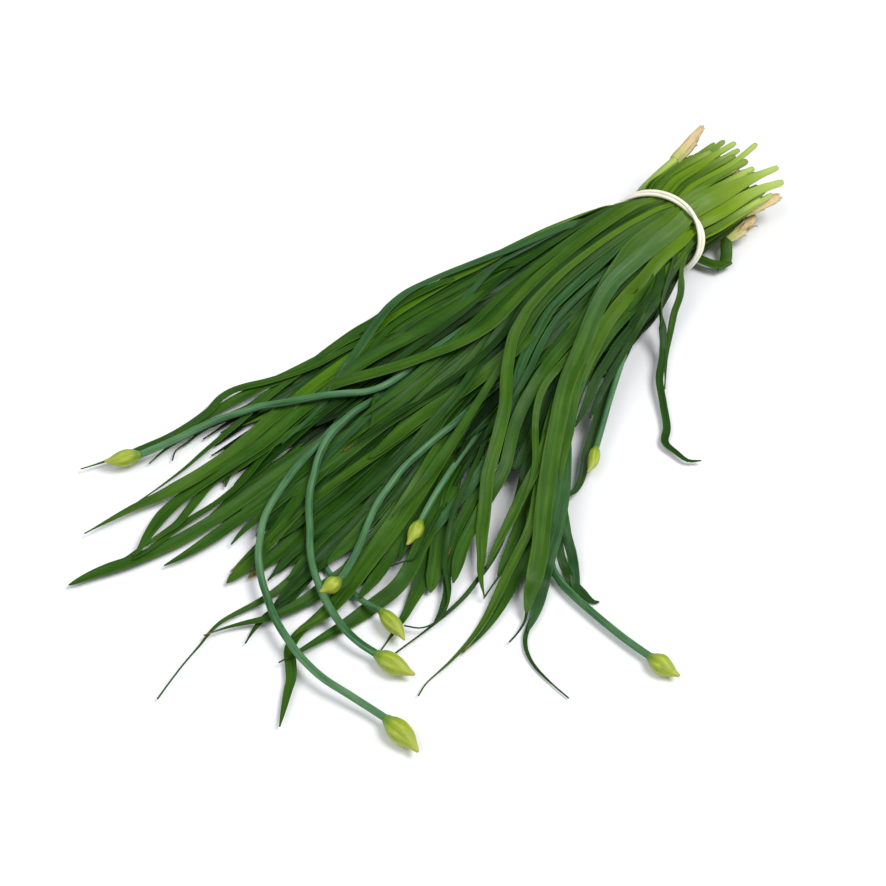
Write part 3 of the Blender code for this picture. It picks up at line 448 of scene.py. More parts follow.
        (160, -39), (185, -40), (210, -38.5), (228, -39.5), (245, -40), (256, -39.6), (265, -38.4),
        (272, -36.3), (278, -33.8), (284, -31), (289, -29.5)]),
    ("olive", 0.3, 6.8, 16, 0.8, [(104, 10.3), (112, 10), (123, 9), (136, 7.5), (148, 5), (160, 3.3),
        (172, 2.5), (186, 2)]),
    ("olive", 0.3, 6, 9, 0.3, [(140, 8), (160, 5), (180, 3), (200, 1), (225, 0.5), (240, 3.5), (250, 5.5),
        (260, 7), (272, 8.3)]),
    ("mid", 0.3, 4.5, 24, 0.5, [(100, -3), (110, -2.5), (123, -0.8), (136, 0.4), (148, -1.7), (160, -4),
        (170, -5.8), (200, -7), (220, -9.5), (235, -9), (248, -8), (257, -6)]),
    ("mid", 0.3, 6.4, 8, 0.2, [(120, 14), (140, 21), (155, 28), (170, 37), (180, 43.5), (190, 50),
        (197, 54.5), (203, 59.5), (210, 65), (217, 70.3)]),
    ("dark", 0.2, 2.2, 50, 0.9, [(140, 30), (155, 37), (165, 41), (178, 46.5), (185, 50.5), (190, 54),
        (199, 61), (203, 64.4), (206, 68), (209, 72), (212, 75.6), (215, 78.5), (220, 80.7), (226, 82),
        (232, 80), (236, 74.5)]),
    ("mid", 0.3, 5.6, 12, 0.2, [(140, 20), (155, 25), (170, 30), (180, 33), (190, 36.5), (200, 40.3),
        (210, 43.5), (220, 47), (230, 49.6), (239, 51.8)]),
    ("dark", 0.2, 3.4, 8, 0.3, [(150, 25), (165, 30.5), (175, 34), (185, 37), (195, 40.2), (205, 44.5),
        (210, 47.3), (214.5, 49.5)]),
    ("mid", 0.3, 4.4, 88, 0, [(120, 12), (135, 14), (150, 17), (170, 22), (190, 25), (210, 22), (230, 20),
        (240, 23), (250, 25), (260, 25.6), (270, 24.7), (280, 22.7), (286.7, 21.8), (293, 22.5),
        (300, 24.6), (310, 27), (320, 30), (329, 33)]),
    ("mid", 0.3, 3.5, 40, 1, [(140, -20), (150, -21), (158, -21), (164, -18), (170, -12), (174, -9)]),
    ("olive", 0.3, 3.2, 40, 0, [(0, 22), (10, 25), (18, 31.7), (27, 36), (35, 41), (47, 49), (58, 58),
        (63, 62)]),
    ("dark", 0.3, 3.5, 20, 0, [(18, 25), (32.5, 31.7), (37, 37), (43, 43), (50, 49), (60, 56), (70, 67),
        (80, 78), (87, 83), (88, 90), (88, 97), (84, 101)]),
    ("dark", 0.3, 1.8, 40, 0, [(165, 66), (180, 74), (190, 77.5), (198, 79.3), (209, 81.6), (227, 82.5),
        (248, 82)]),
    ("dark", 0.3, 2.2, 40, 1, [(190, 46), (205, 52), (209, 53), (213, 51), (218, 49)]),
    ("mid", 0.3, 4.6, 26, 0.5, [(250, 46), (262, 47.6), (270, 48.4), (276.5, 51.4), (281, 57), (286, 62.7),
        (290, 65.5), (304, 76)]),
    ("mid", 0.3, 8.5, 52, 0, [(165, 34), (180, 42), (190, 47), (200, 53), (210, 60), (218, 65), (226, 68.5),
        (233, 71.5), (241, 74), (251, 77)]),
    ("olive", 0.3, 8.8, 32, 0.6, [(120, 11), (140, 16), (160, 22), (180, 28.2), (190, 31.3), (200, 34.2),
        (215, 38.3), (230, 42.2), (240, 45), (247, 46.8), (254, 48), (260, 48), (266, 47), (272, 47.5)]),
    ("dark", 0.5, 3.4, 30, 1.6, [(-56, -1), (-30, -1), (-12, -0.5), (0, 0), (20, -2.5), (40, -4.4),
        (60, -5.4), (80, -4), (100, 0.5), (120, 1.5), (140, -1), (165, -6), (190, -9)]),
    ("mid", 0.5, 3.6, 30, 1, [(-58, 5), (-30, 4.4), (0, 4.6), (20, 2.8), (40, 2), (60, 1.6), (80, 3),
        (100, 8), (120, 13), (150, 21), (180, 28), (200, 31)]),
    ("mid", 0.6, 3.6, 30, 1.2, [(-52, -12), (-30, -12.5), (0, -12), (20, -12.7), (40, -13.6), (60, -14.6),
        (80, -15), (100, -14.6), (120, -14), (150, -14.6), (180, -17)]),
    ("dark", 0.4, 3.4, 30, 1.2, [(-50, -16), (-20, -15), (0, -14), (20, -16), (40, -18), (60, -20),
        (80, -22), (100, -22), (120, -24), (150, -28), (170, -31)]),
    ("mid", 0.3, 3.5, 40, 1, [(150, -49.6), (165, -53.4), (175, -57.9), (186, -64), (193.6, -68.9),
        (200, -71.6), (206, -72), (213.6, -70.2), (227, -70.1), (237, -71.2), (245.5, -73.6),
        (254.5, -76.3), (264.5, -79.5), (274.5, -83.4)]),
    ("mid", 0.3, 5.5, 40, 0.5, [(160, -54), (180, -60), (190, -63.5), (200, -66), (213, -68), (227, -69),
        (241, -71)]),
    ("dark", 0.3, 2.2, 40, 0, [(200, -58), (215, -62), (225.5, -63.6), (232, -63), (239, -63),
        (244, -59.5)]),
    ("mid", 0.3, 3.6, 60, 0.5, [(150, -53.5), (172, -56), (190, -56.5), (210, -55.2), (220, -54.6),
        (232, -53.6), (241, -52.4), (250, -51.8), (259, -51.5), (273, -51.4)]),
    ("bright", 0.3, 7.6, 30, 0.3, [(140, -41), (150, -43), (168, -45), (186, -45.5), (200, -45.5),
        (215, -44), (230, -42.5), (244, -42)]),
    ("mid", 0.3, 4, 40, 0.5, [(200, -34), (225, -36), (240, -37.5), (250, -35), (258, -32.5), (265, -30.4),
        (275, -30.4), (295, -31.5)]),
    ("mid", 0.3, 3, 10, 0, [(205, -36), (220, -38), (230, -37), (238, -32)]),
    ("mid", 0.3, 5, 40, 0, [(180, -26), (200, -24), (215, -25), (232, -26.5), (250, -24), (262, -24)]),
    ("dark", 0.3, 3, 40, 0, [(210, 2), (230, 3), (250, 3.3), (266, 5)]),
    ("mid", 0.3, 6.4, 14, 0, [(150, 0), (180, 4), (200, 6.6), (215, 8), (230, 9), (242.5, 10.6),
        (255, 11.7), (264, 12.5)]),
    ("dark", 0.3, 6.4, 40, 0, [(165, 14), (185, 18), (205, 22), (225, 25), (245, 28), (255, 31), (263, 33),
        (273, 32.5), (280, 34), (287, 36.7)]),
    ("mid", 0.3, 5.5, 44, 0.1, [(150, -14), (180, -12), (200, -8.5), (213, -6.5), (225, -3.5), (235, -0.5),
        (245, 1.5), (256, 3), (267, 4.8)]),
    ("dark", 0.3, 8, 30, 0, [(150, 12), (180, 18), (200, 21.5), (215, 24), (230, 25.5), (245, 27),
        (256, 29), (268, 31)]),
    ("mid", 0.3, 3.6, 10, 0.2, [(200, 16), (215, 17.5), (230, 19), (240, 21), (247, 22.8), (253, 24.4)]),
    ("mid", 0.3, 6, 50, 0.1, [(205, 36), (225, 38), (247, 38), (257, 37.5), (267, 35), (273, 33), (280, 29),
        (288, 25), (296, 22)]),
    ("mid", 0.3, 6.5, 42, 0.5, [(175, 36), (190, 45), (205, 51.5), (215, 56), (225, 58.5), (240, 58.8),
        (252, 58), (262, 56.5), (272, 55), (283.6, 53)]),
    ("dark", 0.3, 6, 20, 0, [(150, -8), (180, -3), (205, -1), (225, 2), (240, 5)]),
    ("dark", 0.3, 7, 14, 0, [(150, 4), (180, 10), (205, 13), (225, 14.6), (243, 16.6), (256, 18.4)]),
    ("mid", 0.3, 6, 18, 0, [(140, 16), (170, 24), (195, 30), (215, 34), (234, 36)]),
    ("dark", 0.3, 5, 14, 0, [(180, 3.5), (195, 4), (206, 4.2), (220, 4.2), (232, 4.8), (245, 5)]),
    ("dark", 0.3, 6, 14, 0, [(190, -6), (205, -6), (218, -6.2), (230, -5.4), (240, -3.6), (247, -2)]),
    ("dark", 0.3, 4, 14, 0, [(215, -18), (230, -18), (242, -18.4), (254, -18.8)]),
    ("dark", 0.3, 4, 14, 0, [(175, 22), (190, 25), (202, 26.6), (213, 27.6)]),
    ("dark", 0.3, 4, 14, 0, [(195, 40), (210, 43), (222, 45.4), (233, 47)]),
    ("dark", 0.3, 5, 12, 0, [(115, 24), (130, 30), (142, 36.4), (153, 43), (158, 46)]),
    ("dark", 0.3, 3.4, 9, 0.5, [(206, 69), (211, 74), (216, 77.8), (221, 80.6), (227, 82.4)]),
    ("dark", 0.3, 7, 16, 0, [(150, -28), (180, -32), (205, -31), (222, -30), (236, -29)]),
    ("mid", 0.3, 6, 18, 0, [(150, -16), (180, -17), (205, -17), (225, -16), (242, -17)]),
    ("dark", 0.3, 6, 18, 0, [(150, -46), (180, -47), (200, -46), (218, -45), (232, -44)]),
]


# The leaf that hangs out behind the band, folded over: its way out to the fold, and its way back
foldedLeaf = {
    "samples": 60,
    "width": 5.6,
    "thick": 0.9,
    "out": [(-40, 13, 12), (-37.5, 15, 11), (-32.5, 18, 9), (-27.5, 21.5, 7), (-23.5, 25, 5),
            (-18, 28.5, 3.5)],
    "back": [(-18, 28.5, 4.6), (-15, 24.5, 4.7), (-13.5, 19.5, 4.8), (-12.5, 13.5, 5), (-12, 7.5, 5.3)],
    "crease": 0.7,          # radius of the fold's edge
    "sharpest": 0.3,        # sine of the sharpest corner for which the crease is made longer
    "ringEvery": 1.2,
    "bendRings": 7,
    "channel": 0.05,
    "keel": 0.2,
    "mapLength": 45.0,
    "draw": 0.4,            # where a laid leaf has a random number that shifts its veins
}

leafForm = {
    "around": 14,           # points round a leaf's section
    "samples": 220,         # points on its line before they are set evenly
    "ringEvery": 2.0,
    "thick": 0.80,
    "tipThick": 0.35,       # share of its thickness that a leaf keeps at the tip
    "roundest": 1.8,        # and it is nowhere thicker than this many times half its width
    "stem": (2.5, 3.5),     # width of its round base
    "splayedStem": 4.6,     # width of the pale bases that stand apart from the others
    "stemHeight": 0.84,     # height of the base as a share of its width
    "stemReach": 42.0,      # over this length the base widens into the blade
    "channel": 0.28,        # how far the edges stand above the middle, as a share of half the width
    "keel": 0.45,           # a ridge below, as a share of the thickness
    "tipPower": ((20, 90), (0.5, 1.5)),     # a short tip is blunt and a long one thins out like a thread
    "lean": 18.0,           # largest lean that is drawn
    "leanByWidth": ((4, 8), (1, 0.2)),      # and the share of it that narrow and wide leaves take
    "wave": 9.0,            # how much the lean changes along a leaf
    "waves": (0.8, 2.2),    # and how many times
    "flatTip": (0.85, 0.15, 0.6),   # from this share of a leaf on, over this share, it loses so much lean
    "most": 58.0,           # no leaf leans further than this
    "leanWidens": 0.6,      # power of the lean's cosine by which a leaf is drawn wider
    "leastHalf": 0.35,
    "closed": (0.5, 1.6),   # how narrow a late leaf starts, and how late in that stretch it opens
    "cutEnd": 0.8,          # share of its size that it has at the cut
    "paleReach": (40, 24),  # length of the pale base, and what full paleness adds
    "dryReach": 7.0,        # length of a dry tip
    "dryTips": 0.08,        # share of the leaves that have one
    "lowestMiddle": 1.1,    # a leaf's middle stays this far above the table
    "lowestEdge": (0.3, 0.02),      # its lean leaves its edge so much room, but is never less than this
    "lowestSkin": 0.25,
}

# A strap's section: power of the sine that rounds its edges, power that draws in the keel, and where the
# channel crosses the strap's middle height
strapForm = {"edge": 0.75, "keel": 1.6, "level": 0.45}

# The part of a leaf that lies inside the bunch, before the first point of its route
startForm = {
    "from": -20,            # routes that begin past here have one
    "cut": (-50, 6),        # place of the cut end, and how far it is moved at random
    "stations": (-30, -8, 10, 45, 85, 120),
    "before": 14,           # the last station lies at least this far before the first point
    "rises": 10,            # up to here it keeps its depth and its share of the way to the edge
    "depth": 0.72,          # how much deeper than the top it lies where the first point is furthest out
    "surfacing": 1.4,       # power by which it comes up
    "near": (0.62, 2),      # how near to the middle it starts, and the power by which it comes out
    "far": (0.8, 1),
}

# How leaves pass the flower stalks
passForm = {
    "meets": 1.2,           # a leaf meets a stalk where less than this is between them
    "shows": 1.5,           # a stalk is in view where it lies no deeper than this
    "middle": 0.4,          # how far over a stalk's line a leaf has to be to pass above it
    "outOfView": 0.01,      # weight of the points where the stalk isn't in view
    "near": 0.4,            # a leaf is moved where less than this is between them
    "over": 0.8,
    "under": 0.7,
    "reach": 7.0,
}

innerForm = {
    "levels": (0.98, 0.90, 0.80, 0.68, 0.54, 0.40, 0.26, 0.10),
    "columns": (26, 24, 22, 20, 19, 18, 17, 16),
    "spacing": (0.97, 0.02),        # share of the way out of the outermost, and how far each is moved
    "widths": (4.2, 6.8),
    "lean": 42.0,
    "around": 10,
    "samples": 160,
    "ringEvery": 3.4,
    "reach": (165, 246),
    "nearShorter": (0.60, 0.95),    # how much shorter they are toward the near edge, and its power
    "farShorter": 0.08,
    "narrowing": (20, 50),
    "cut": (-58, -44),
    "stations": (-28, -8, 12),
    "fan": (40, 5),                 # first of the stations in the fan, and how many there are
    "wander": ((0, 120), (0.4, 3.5)),
    "inAt": (-40, -10, 20, 60, 105, 150, 230),   # how far out of the pile's edge they go, at these places
    "nearIn": (0.84, 0.86, 0.88, 0.80, 0.66, 0.74, 0.84),
    "farIn": (0.86, 0.86, 0.87, 0.86, 0.78, 0.84, 0.70),
    "below": (2.8, 2.8, 2.4, 1.8, 1.4, 1.3, 1.3),   # and under the leaves that are laid on the bunch
    "aboveFoot": 0.5,
    "leastRoom": 0.4,
    "deep": 0.85,           # below this level they are of the darkest tone, painted shade for lying deep in the bunch
    "tones": ("dark", "mid", "olive", "glaucous"),
    "toneShares": (0.60, 0.32, 0.04, 0.04),
}


def hiddenStart(firstX, firstY):
    # the way from the cut end, inside the bunch, to the first point that shows: by powers of the share
    # of the way, it comes up from its depth and out to the side
    form = startForm
    edge, (inner, power) = (nearEdge, form["near"]) if firstY > 0 else (farEdge, form["far"])
    across = firstY / edge(firstX)
    depth = 1 - form["depth"] * min(max(firstX, 0) / pileForm["fanLength"], 1)
    cut, moved = form["cut"]
    points = []
    for x in (cut + drawn.uniform(-moved, moved), *form["stations"]):
        if x < firstX - form["before"]:
            out = min(max(x - form["rises"], 0) / max(firstX - form["rises"], 1), 1)
            share = depth + (1 - depth) * out ** form["surfacing"]
            y = across * (inner + (1 - inner) * out ** power) * edge(x)
            points.append((x, y, float(pileTop(x, y)) * share))
    return points


def laid(route, lift):
    # a route on top of the pile, raised by its lift. The point at which it comes out of the pile isn't
    # raised, and points with a height of their own keep it.
    return [point if len(point) > 2 else onPile(*point, lift if i > 0 or point[0] < 0 else 0)
            for i, point in enumerate(route)]


def eased(need, every, reach):
    # the largest need within reach along the line, then evened out by a bell curve
    n = max(int(round(reach / every)), 1)
    padded = np.pad(need, n, mode="edge")
    widest = np.lib.stride_tricks.sliding_window_view(padded, 2 * n + 1).max(axis=1)
    bell = np.exp(-0.5 * (np.arange(-n, n + 1) / (0.5 * n)) ** 2)
    return np.convolve(np.pad(widest, n, mode="edge"), bell / bell.sum(), mode="valid")


def besideStalk(points, stalk):
    # for each point of a leaf, how far the stalk's line is from it in plan, and its nearest point
    apart = np.linalg.norm(points[:, None, :2] - stalk[None, :, :2], axis=2)
    return apart.min(axis=1), stalk[apart.argmin(axis=1)]


def passingSides(points, width):
    # for each stalk, +1 where the leaf passes over it, -1 where under, and 0 where it is clear of it.
    # One meeting has one side: the one on which most of the leaf lies where the stalk is in view.
    form = passForm
    sides = []
    for radius, stalk in stalkLines:
        apart, nearest = besideStalk(points, stalk)
        close = apart < radius + 0.5 * width + form["meets"]
        height = nearest[:, 2]
        inView = height > pileTop(nearest[:, 0], nearest[:, 1]) - form["shows"]
        weight = inView + form["outOfView"]
        above = (points[:, 2] - form["middle"] - height) * weight
        starts = np.flatnonzero(np.diff(np.concatenate([[False], close, [False]]).astype(int)))
        side = np.zeros(len(points))
        for first, last in zip(starts[::2], starts[1::2]):
            side[first:last] = 1 if above[first:last].sum() > 0 else -1
        sides.append(side)
    return sides


def bentClear(points, width, sides, every):
    # lifts or lowers a leaf along the line of sight where it would run through a stalk
    form = passForm
    out = points.copy()
    for (radius, stalk), side in zip(stalkLines, sides):
        if not side.any():
            continue
        apart, nearest = besideStalk(out, stalk)
        height = nearest[:, 2]
        close = apart < radius + 0.5 * width + form["near"]
        up = np.where(close & (side > 0), height + radius + form["over"] - out[:, 2], 0).clip(0, None)
        down = np.where(close & (side < 0), out[:, 2] - height + radius + form["under"], 0).clip(0, None)
        out = alongSight(out, eased(up, every, form["reach"]) - eased(down, every, form["reach"]))
    return out


def strapRings(points, sides, normals, half, thick, around, channel, keel):
    # a strap's section at each point: round edges, a shallow channel above and a low ridge below
    # (the keel and the channel are numbers or one value for each point).
    # Across is the cosine of the angle round the section, and height is a power of its sine.
    across, rise = np.cos(circle(around)), np.sin(circle(around))
    swell = 0.5 * np.sign(rise) * np.abs(rise) ** strapForm["edge"]
    ridge = np.where(rise < -0.01, (1 - np.abs(across)) ** strapForm["keel"], 0.0)
    height = thick[:, None] * (swell[None, :] - keel * ridge[None, :])
    height = height + channel * half[:, None] * (across ** 2 - strapForm["level"])[None, :]
    wide = half[:, None] * across[None, :]
    rings = (points[:, None, :] + sides[:, None, :] * wide[..., None]
             + normals[:, None, :] * height[..., None])
    return rings, np.broadcast_to(0.5 + 0.5 * across, wide.shape)


def leafShape(line, width, narrowing, lean, every, stem=None, opens=0):
    # a leaf's centre points with their directions across and up, half widths and thicknesses: a round
    # stem at the cut that widens into the blade, which tapers over the last part to the tip. A leaf
    # that opens late is half as wide until it opens.
    form = leafForm
    points, run = evenLine(line, every)
    far = run / run[-1]
    along = directions(points)
    side = unit(np.cross(pileNormal(points), along))
    wave = form["wave"] * np.sin(2 * np.pi * (far * drawn.uniform(*form["waves"]) + drawn.uniform(0, 1)))
    flatFrom, flatOver, flatter = form["flatTip"]
    upright = 1 - flatter * rising((far - flatFrom) / flatOver)
    roll = np.radians(np.clip((lean + wave) * upright, -form["most"], form["most"]))
    blade = rising(run / form["stemReach"])
    stem = stem or drawn.uniform(*form["stem"])
    taper = np.clip((run[-1] - run) / narrowing, 0, 1) ** np.interp(narrowing, *form["tipPower"])
    if opens:
        narrow, late = form["closed"]
        width = width * (narrow + (1 - narrow) * rising(run / opens * late - (late - 1)))
    half = 0.5 * (stem + (width * taper / np.cos(roll) ** form["leanWidens"] - stem) * blade)
    half = np.maximum(half, form["leastHalf"])
    high = form["stemHeight"] * stem
    thick = high + (form["thick"] * np.clip(form["tipThick"] + taper, 0, 1) - high) * blade
    return {
        "points": points,
        "run": run,
        "side": side,
        "up": np.cross(along, side),
        "roll": roll,
        "half": half,
        "thick": np.minimum(thick, form["roundest"] * half),
        "blade": blade,
    }


# Heights of what is already laid, on a grid of cells seen from above
stackForm = {
    "corner": (-90.0, -110.0),
    "cells": (440, 300),
    "from": (10.0, 48.0),   # past the neck, leaves are laid fully clear of each other
    "gap": 0.15,
    "reach": 8.0,           # how long before another leaf a leaf rises to pass over it
    "most": 7.0,
    "sink": 1.6,
    "covered": 3.0,         # a leaf counts as laid from this far before it comes out of the pile
    "emerging": 15.0,       # and rises over this length before that
}
laidHeights = np.zeros(stackForm["cells"])
acrossLeaf = np.linspace(-1, 1, 11)


def cellsUnder(shape):
    # cells below points across a leaf, at shares of half its width times the cosine of its lean
    offset = shape["half"][:, None] * acrossLeaf[None, :] * np.cos(shape["roll"])[:, None]
    xy = shape["points"][:, None, :2] + shape["side"][:, None, :2] * offset[..., None]
    cells = (xy - np.array(stackForm["corner"])).astype(int)
    return cells[..., 0], cells[..., 1]


def leafHeights(shape):
    # heights of the same points, which differ from the middle's by the sine of the lean
    tilt = shape["half"][:, None] * acrossLeaf[None, :] * np.sin(shape["roll"])[:, None]
    return shape["points"][:, 2][:, None] + tilt


def stacked(shape, width, every, shown):
    # sinks a leaf into the pile and raises the part that shows along the line of sight until it lies on
    # the leaves below it, leads it past the stalks, then adds it to what is laid
    form = stackForm
    x = shape["points"][:, 0]
    first, full = form["from"]
    share = rising((x - first) / (full - first))
    hidden = shown > startForm["from"]
    inside = hidden & (x < shown - form["covered"])
    clear = share * (rising((x - shown + form["emerging"]) / form["emerging"]) if hidden else 1)
    sides = passingSides(shape["points"], width)
    shape["points"] = alongSight(shape["points"], -form["sink"] * share)
    under = laidHeights[cellsUnder(shape)] + form["gap"] + 0.5 * shape["thick"][:, None]
    need = np.clip((under - leafHeights(shape)).max(axis=1), 0, form["most"])
    points = alongSight(shape["points"], eased(need, every, form["reach"]) * clear)
    points = bentClear(points, width, sides, every)
    shape["points"] = alongSight(points, np.clip(leafForm["lowestMiddle"] - points[:, 2], 0, None))
    top = np.where(inside[:, None], 0, leafHeights(shape) + 0.5 * shape["thick"][:, None])
    np.maximum.at(laidHeights, cellsUnder(shape), top)


def leafSkin(shape, paleness, around, dryTips):
    # the closed strap over a leaf's sections, from a blunt cut end to the tip. Its lean is held to what
    # the height of its middle above the table leaves room for.
    form = leafForm
    run, half, thick = shape["run"], shape["half"].copy(), shape["thick"].copy()
    gap, least = form["lowestEdge"]
    room = np.arcsin(np.clip((shape["points"][:, 2] - 0.5 * thick - gap) / half, least, 1))
    roll = np.clip(shape["roll"], -room, room)
    cos, sin = np.cos(roll)[:, None], np.sin(roll)[:, None]
    sides = shape["side"] * cos + shape["up"] * sin
    normals = shape["up"] * cos - shape["side"] * sin
    half[0] *= form["cutEnd"]
    thick[0] *= form["cutEnd"]
    blade = shape["blade"][:, None]
    rings, across = strapRings(shape["points"], sides, normals, half, thick, around,
                               form["channel"] * blade, form["keel"] * blade)
    rings[:, :, 2] = np.maximum(rings[:, :, 2], form["lowestSkin"])
    each = drawn.uniform(0, 1)
    reach, longer = form["paleReach"]
    pale = np.exp(-(run / (reach + longer * paleness)) ** 2)
    dry = np.clip(1 - (run[-1] - run) / form["dryReach"], 0, 1) * (drawn.uniform(0, 1) < dryTips)
    return closedLoft(rings, together(across, run[:, None] / mapUnit),
                      together(each, pale[:, None], paleness, dry[:, None]))


def foldedSkin():
    # a strap that turns over at its fold: the crease runs along the line that halves the corner,
    # and the strap goes round it on a small half circle
    form = foldedLeaf
    out, outRun = evenLine(smoothLine(form["out"], form["samples"]), form["ringEvery"])
    back, backRun = evenLine(smoothLine(form["back"], form["samples"]), form["ringEvery"])
    flatOut, flatBack = unit(directions(out)[-1] * [1, 1, 0]), unit(directions(back)[0] * [1, 1, 0])
    halving, outward = unit(flatOut + flatBack), unit(flatOut - flatBack)
    stretch = 1 / max(abs(np.cross(flatOut, halving)[2]), form["sharpest"])
    turn = np.linspace(0, np.pi, form["bendRings"] + 2)[1:-1, None]
    bendNormals = np.sin(turn) * outward - np.cos(turn) * upward
    bend = out[-1] + upward * form["crease"] + form["crease"] * bendNormals
    outSide = unit(np.cross(upward, directions(out)))
    backSide = unit(np.cross(upward, directions(back)))
    crease = halving * np.sign(halving @ outSide[-1]) * stretch
    near = np.clip(1 - (outRun[-1] - outRun) / form["width"], 0, 1)[:, None]
    outSide = outSide * (1 - near) + crease * near
    near = np.clip(1 - backRun / form["width"], 0, 1)[:, None]
    backSide = backSide * (1 - near) - crease * near
    points = np.concatenate([out, bend, back])
    sides = np.concatenate([outSide, np.broadcast_to(crease, bend.shape), -backSide])
    normals = np.concatenate([np.broadcast_to(-upward, out.shape), bendNormals,
                              np.broadcast_to(upward, back.shape)])
    half, thick = np.full(len(points), 0.5 * form["width"]), np.full(len(points), form["thick"])
    rings, across = strapRings(points, sides, normals, half, thick, leafForm["around"],
                               form["channel"], form["keel"])
    run = np.linspace(0, form["mapLength"], len(points))[:, None]
    return closedLoft(rings, together(across, run / mapUnit), together(form["draw"], 0.0, 0.0, 0.0))


# Flower stalks: width, place of the cut end and of the way past the band (x, then y and height), how
# far it lies above the pile, tip of the bud, width of the bud, and the route to the foot of the bud
stalkRoutes = [
    (3.6, (-52, -10, 25), 3.2, (264.5, -78.6), 7.0, [(130, -18.5, -1), (147, -19.5, 1.5),
        (155.5, -21.4, 3.6), (161.8, -25), (168, -31.4), (175.5, -38.6), (182.7, -44), (190, -49.5),
        (197, -55), (204.5, -58.6), (213.6, -62.7), (222.7, -65.4), (231.8, -67), (241, -69),
        (251, -71.4, 2.5)]),
    (3.6, (-45, -16, 14), 3.2, (273, 121), 8.5, [(160, -24, -4.5), (175, -22.8, -3), (185, -21.8, -1.5),
        (192, -20.5, 0.5), (200, -19.6, 2), (210, -17.6), (220, -14.6), (230, -10.8), (238, -6.5),
        (246, 0.2), (252, 6), (260, 17), (264.5, 25.5), (268.6, 33.6), (271.3, 41), (273.2, 48), (275, 56),
        (275.9, 70), (274.3, 83.6, 2.2), (273, 94.5, 1.2), (272, 102, 1.2)]),
    (3.6, (-50, -2, 22), 3.2, (250.5, 94.5), 8.0, [(130, -12, -6), (145, -14.5, -3.5), (155, -17.8, -2.6),
        (163, -19.2, -0.8), (172, -21, 2.2), (180, -20.8), (190, -19, 4), (200, -14.3), (206, -10),
        (213.6, -4.5), (221, 2.7), (228, 11), (234.5, 18), (241, 27), (245.6, 35.5), (249.2, 43.6),
        (251.8, 51.8), (253.6, 60), (254.1, 69, 2.2), (253.3, 77, 1.2)]),
    (3.4, (-62, 9, 24), 3.0, (247.5, 39), 6.5, [(140, 17, -2), (150, 17, 1), (159, 16.4), (170, 16.4),
        (180, 16.8), (190, 19), (200, 21.8), (209, 26), (218, 31), (226, 35, 3.8), (233, 37.8, 4.6),
        (237.6, 39.2, 4.8)]),
    (3.0, (-50, 4, 11), 1.6, (239.5, 79.5), 6.5, [(150, 12, -6), (200, 20, -2), (222, 24, -2.2),
        (236, 27.5, -2.2), (239, 34, -2.2), (239, 45, -2.2), (239, 54, 0.5), (237, 62.7, 2.2)]),
    (3.0, (-57, 12, 18), 2.6, (206, 46.8), 6.0, [(130, 26, -6), (160, 31, -2), (172, 34, 1.5), (182, 37),
        (194.5, 41.8)]),
    (3.0, (-45, 16, 13), 2.6, (122.8, 71), 5, [(48, 30, -2), (60, 36.6, 0.4), (70, 42.4, 0.9),
        (80, 47.6, 0.9), (90, 52.8, 1.2), (100, 58.4, 1.4), (111.5, 64.8, 1.4)]),
    (3.6, (-49, 13, 8), 2.0, (177, 167), 7.5, [(80, 36, -8), (120, 56, -5), (150, 75, -3), (162, 86, -1.5),
        (168, 91, 0), (172.3, 96, 0.8), (174.2, 102, 1.2), (175.8, 110.5, 1.4), (176.6, 119, 1.4),
        (177.3, 130, 1.4), (177.6, 142, 1.4), (177.2, 153, 1.6)]),
]

stalkForm = {
    "around": 18,
    "samples": 230,
    "slimmer": 0.86,        # share of the solid's width, which is for picking up
    "ringEvery": 1.5,
    "corners": 0.05,        # how far its section is from round
    "turn": 0.004,          # how far that turns in each millimetre
    "uneven": (0.02, 17.0),         # how much its width changes along it, and over what length
    "foot": (-75.0, 1.3),   # leaves keep clear of its line from here, where it lies this much lower
    "straight": (-25, 10),  # it passes the band in a straight line between these places
    "cutEnd": 0.75,
    "paleReach": 30.0,
    "youngReach": 14.0,
}

budForm = {
    "around": 42,
    "rings": 54,
    "samples": 200,         # points on the curve of its swells
    "shares": (0.00, 0.08, 0.20, 0.36, 0.54, 0.70, 0.83, 0.93, 1.0),
    "swells": (0.48, 0.60, 0.86, 0.98, 0.96, 0.76, 0.46, 0.28, 0.14),
    "ribs": 7,
    "ribDepth": 0.085,
    "ribTurn": 0.5,         # how far the ribs wind round it
    "florets": 0.04,        # bulges of the florets packed inside
    "floretsRound": 3,
    "floretsAlong": 9,
    "bodyEnds": 1.15,       # ribs and bulges end where this many times the share reaches 1
    "between": 0.97,        # share of its radius between ribs
    "beakBend": 0.9,        # how far the tip bends aside
    "beakFrom": (0.6, 0.4), # from this share on, and over how much of it
    "lowest": 0.25,
    "restsAt": 0.4,         # its tip lies this much higher than half its width
    "sunk": 0.3,            # how far its foot is set into the stalk
    "mapLength": 0.2,       # how far its map reaches along it
}


def stalkLine(neck, lift, route):
    # straight past the band, up through the pile, and along its route
    foot, lower = stalkForm["foot"]
    base = [(foot, neck[1], neck[2] - lower)] + [(x, neck[1], neck[2]) for x in stalkForm["straight"]]
    shown = [onPile(point[0], point[1], point[2] if len(point) > 2 else lift) for point in route]
    half = tuple(0.5 * (a + b) for a, b in zip(base[-1], shown[0]))
    return smoothLine(base + [half] + shown, stalkForm["samples"])


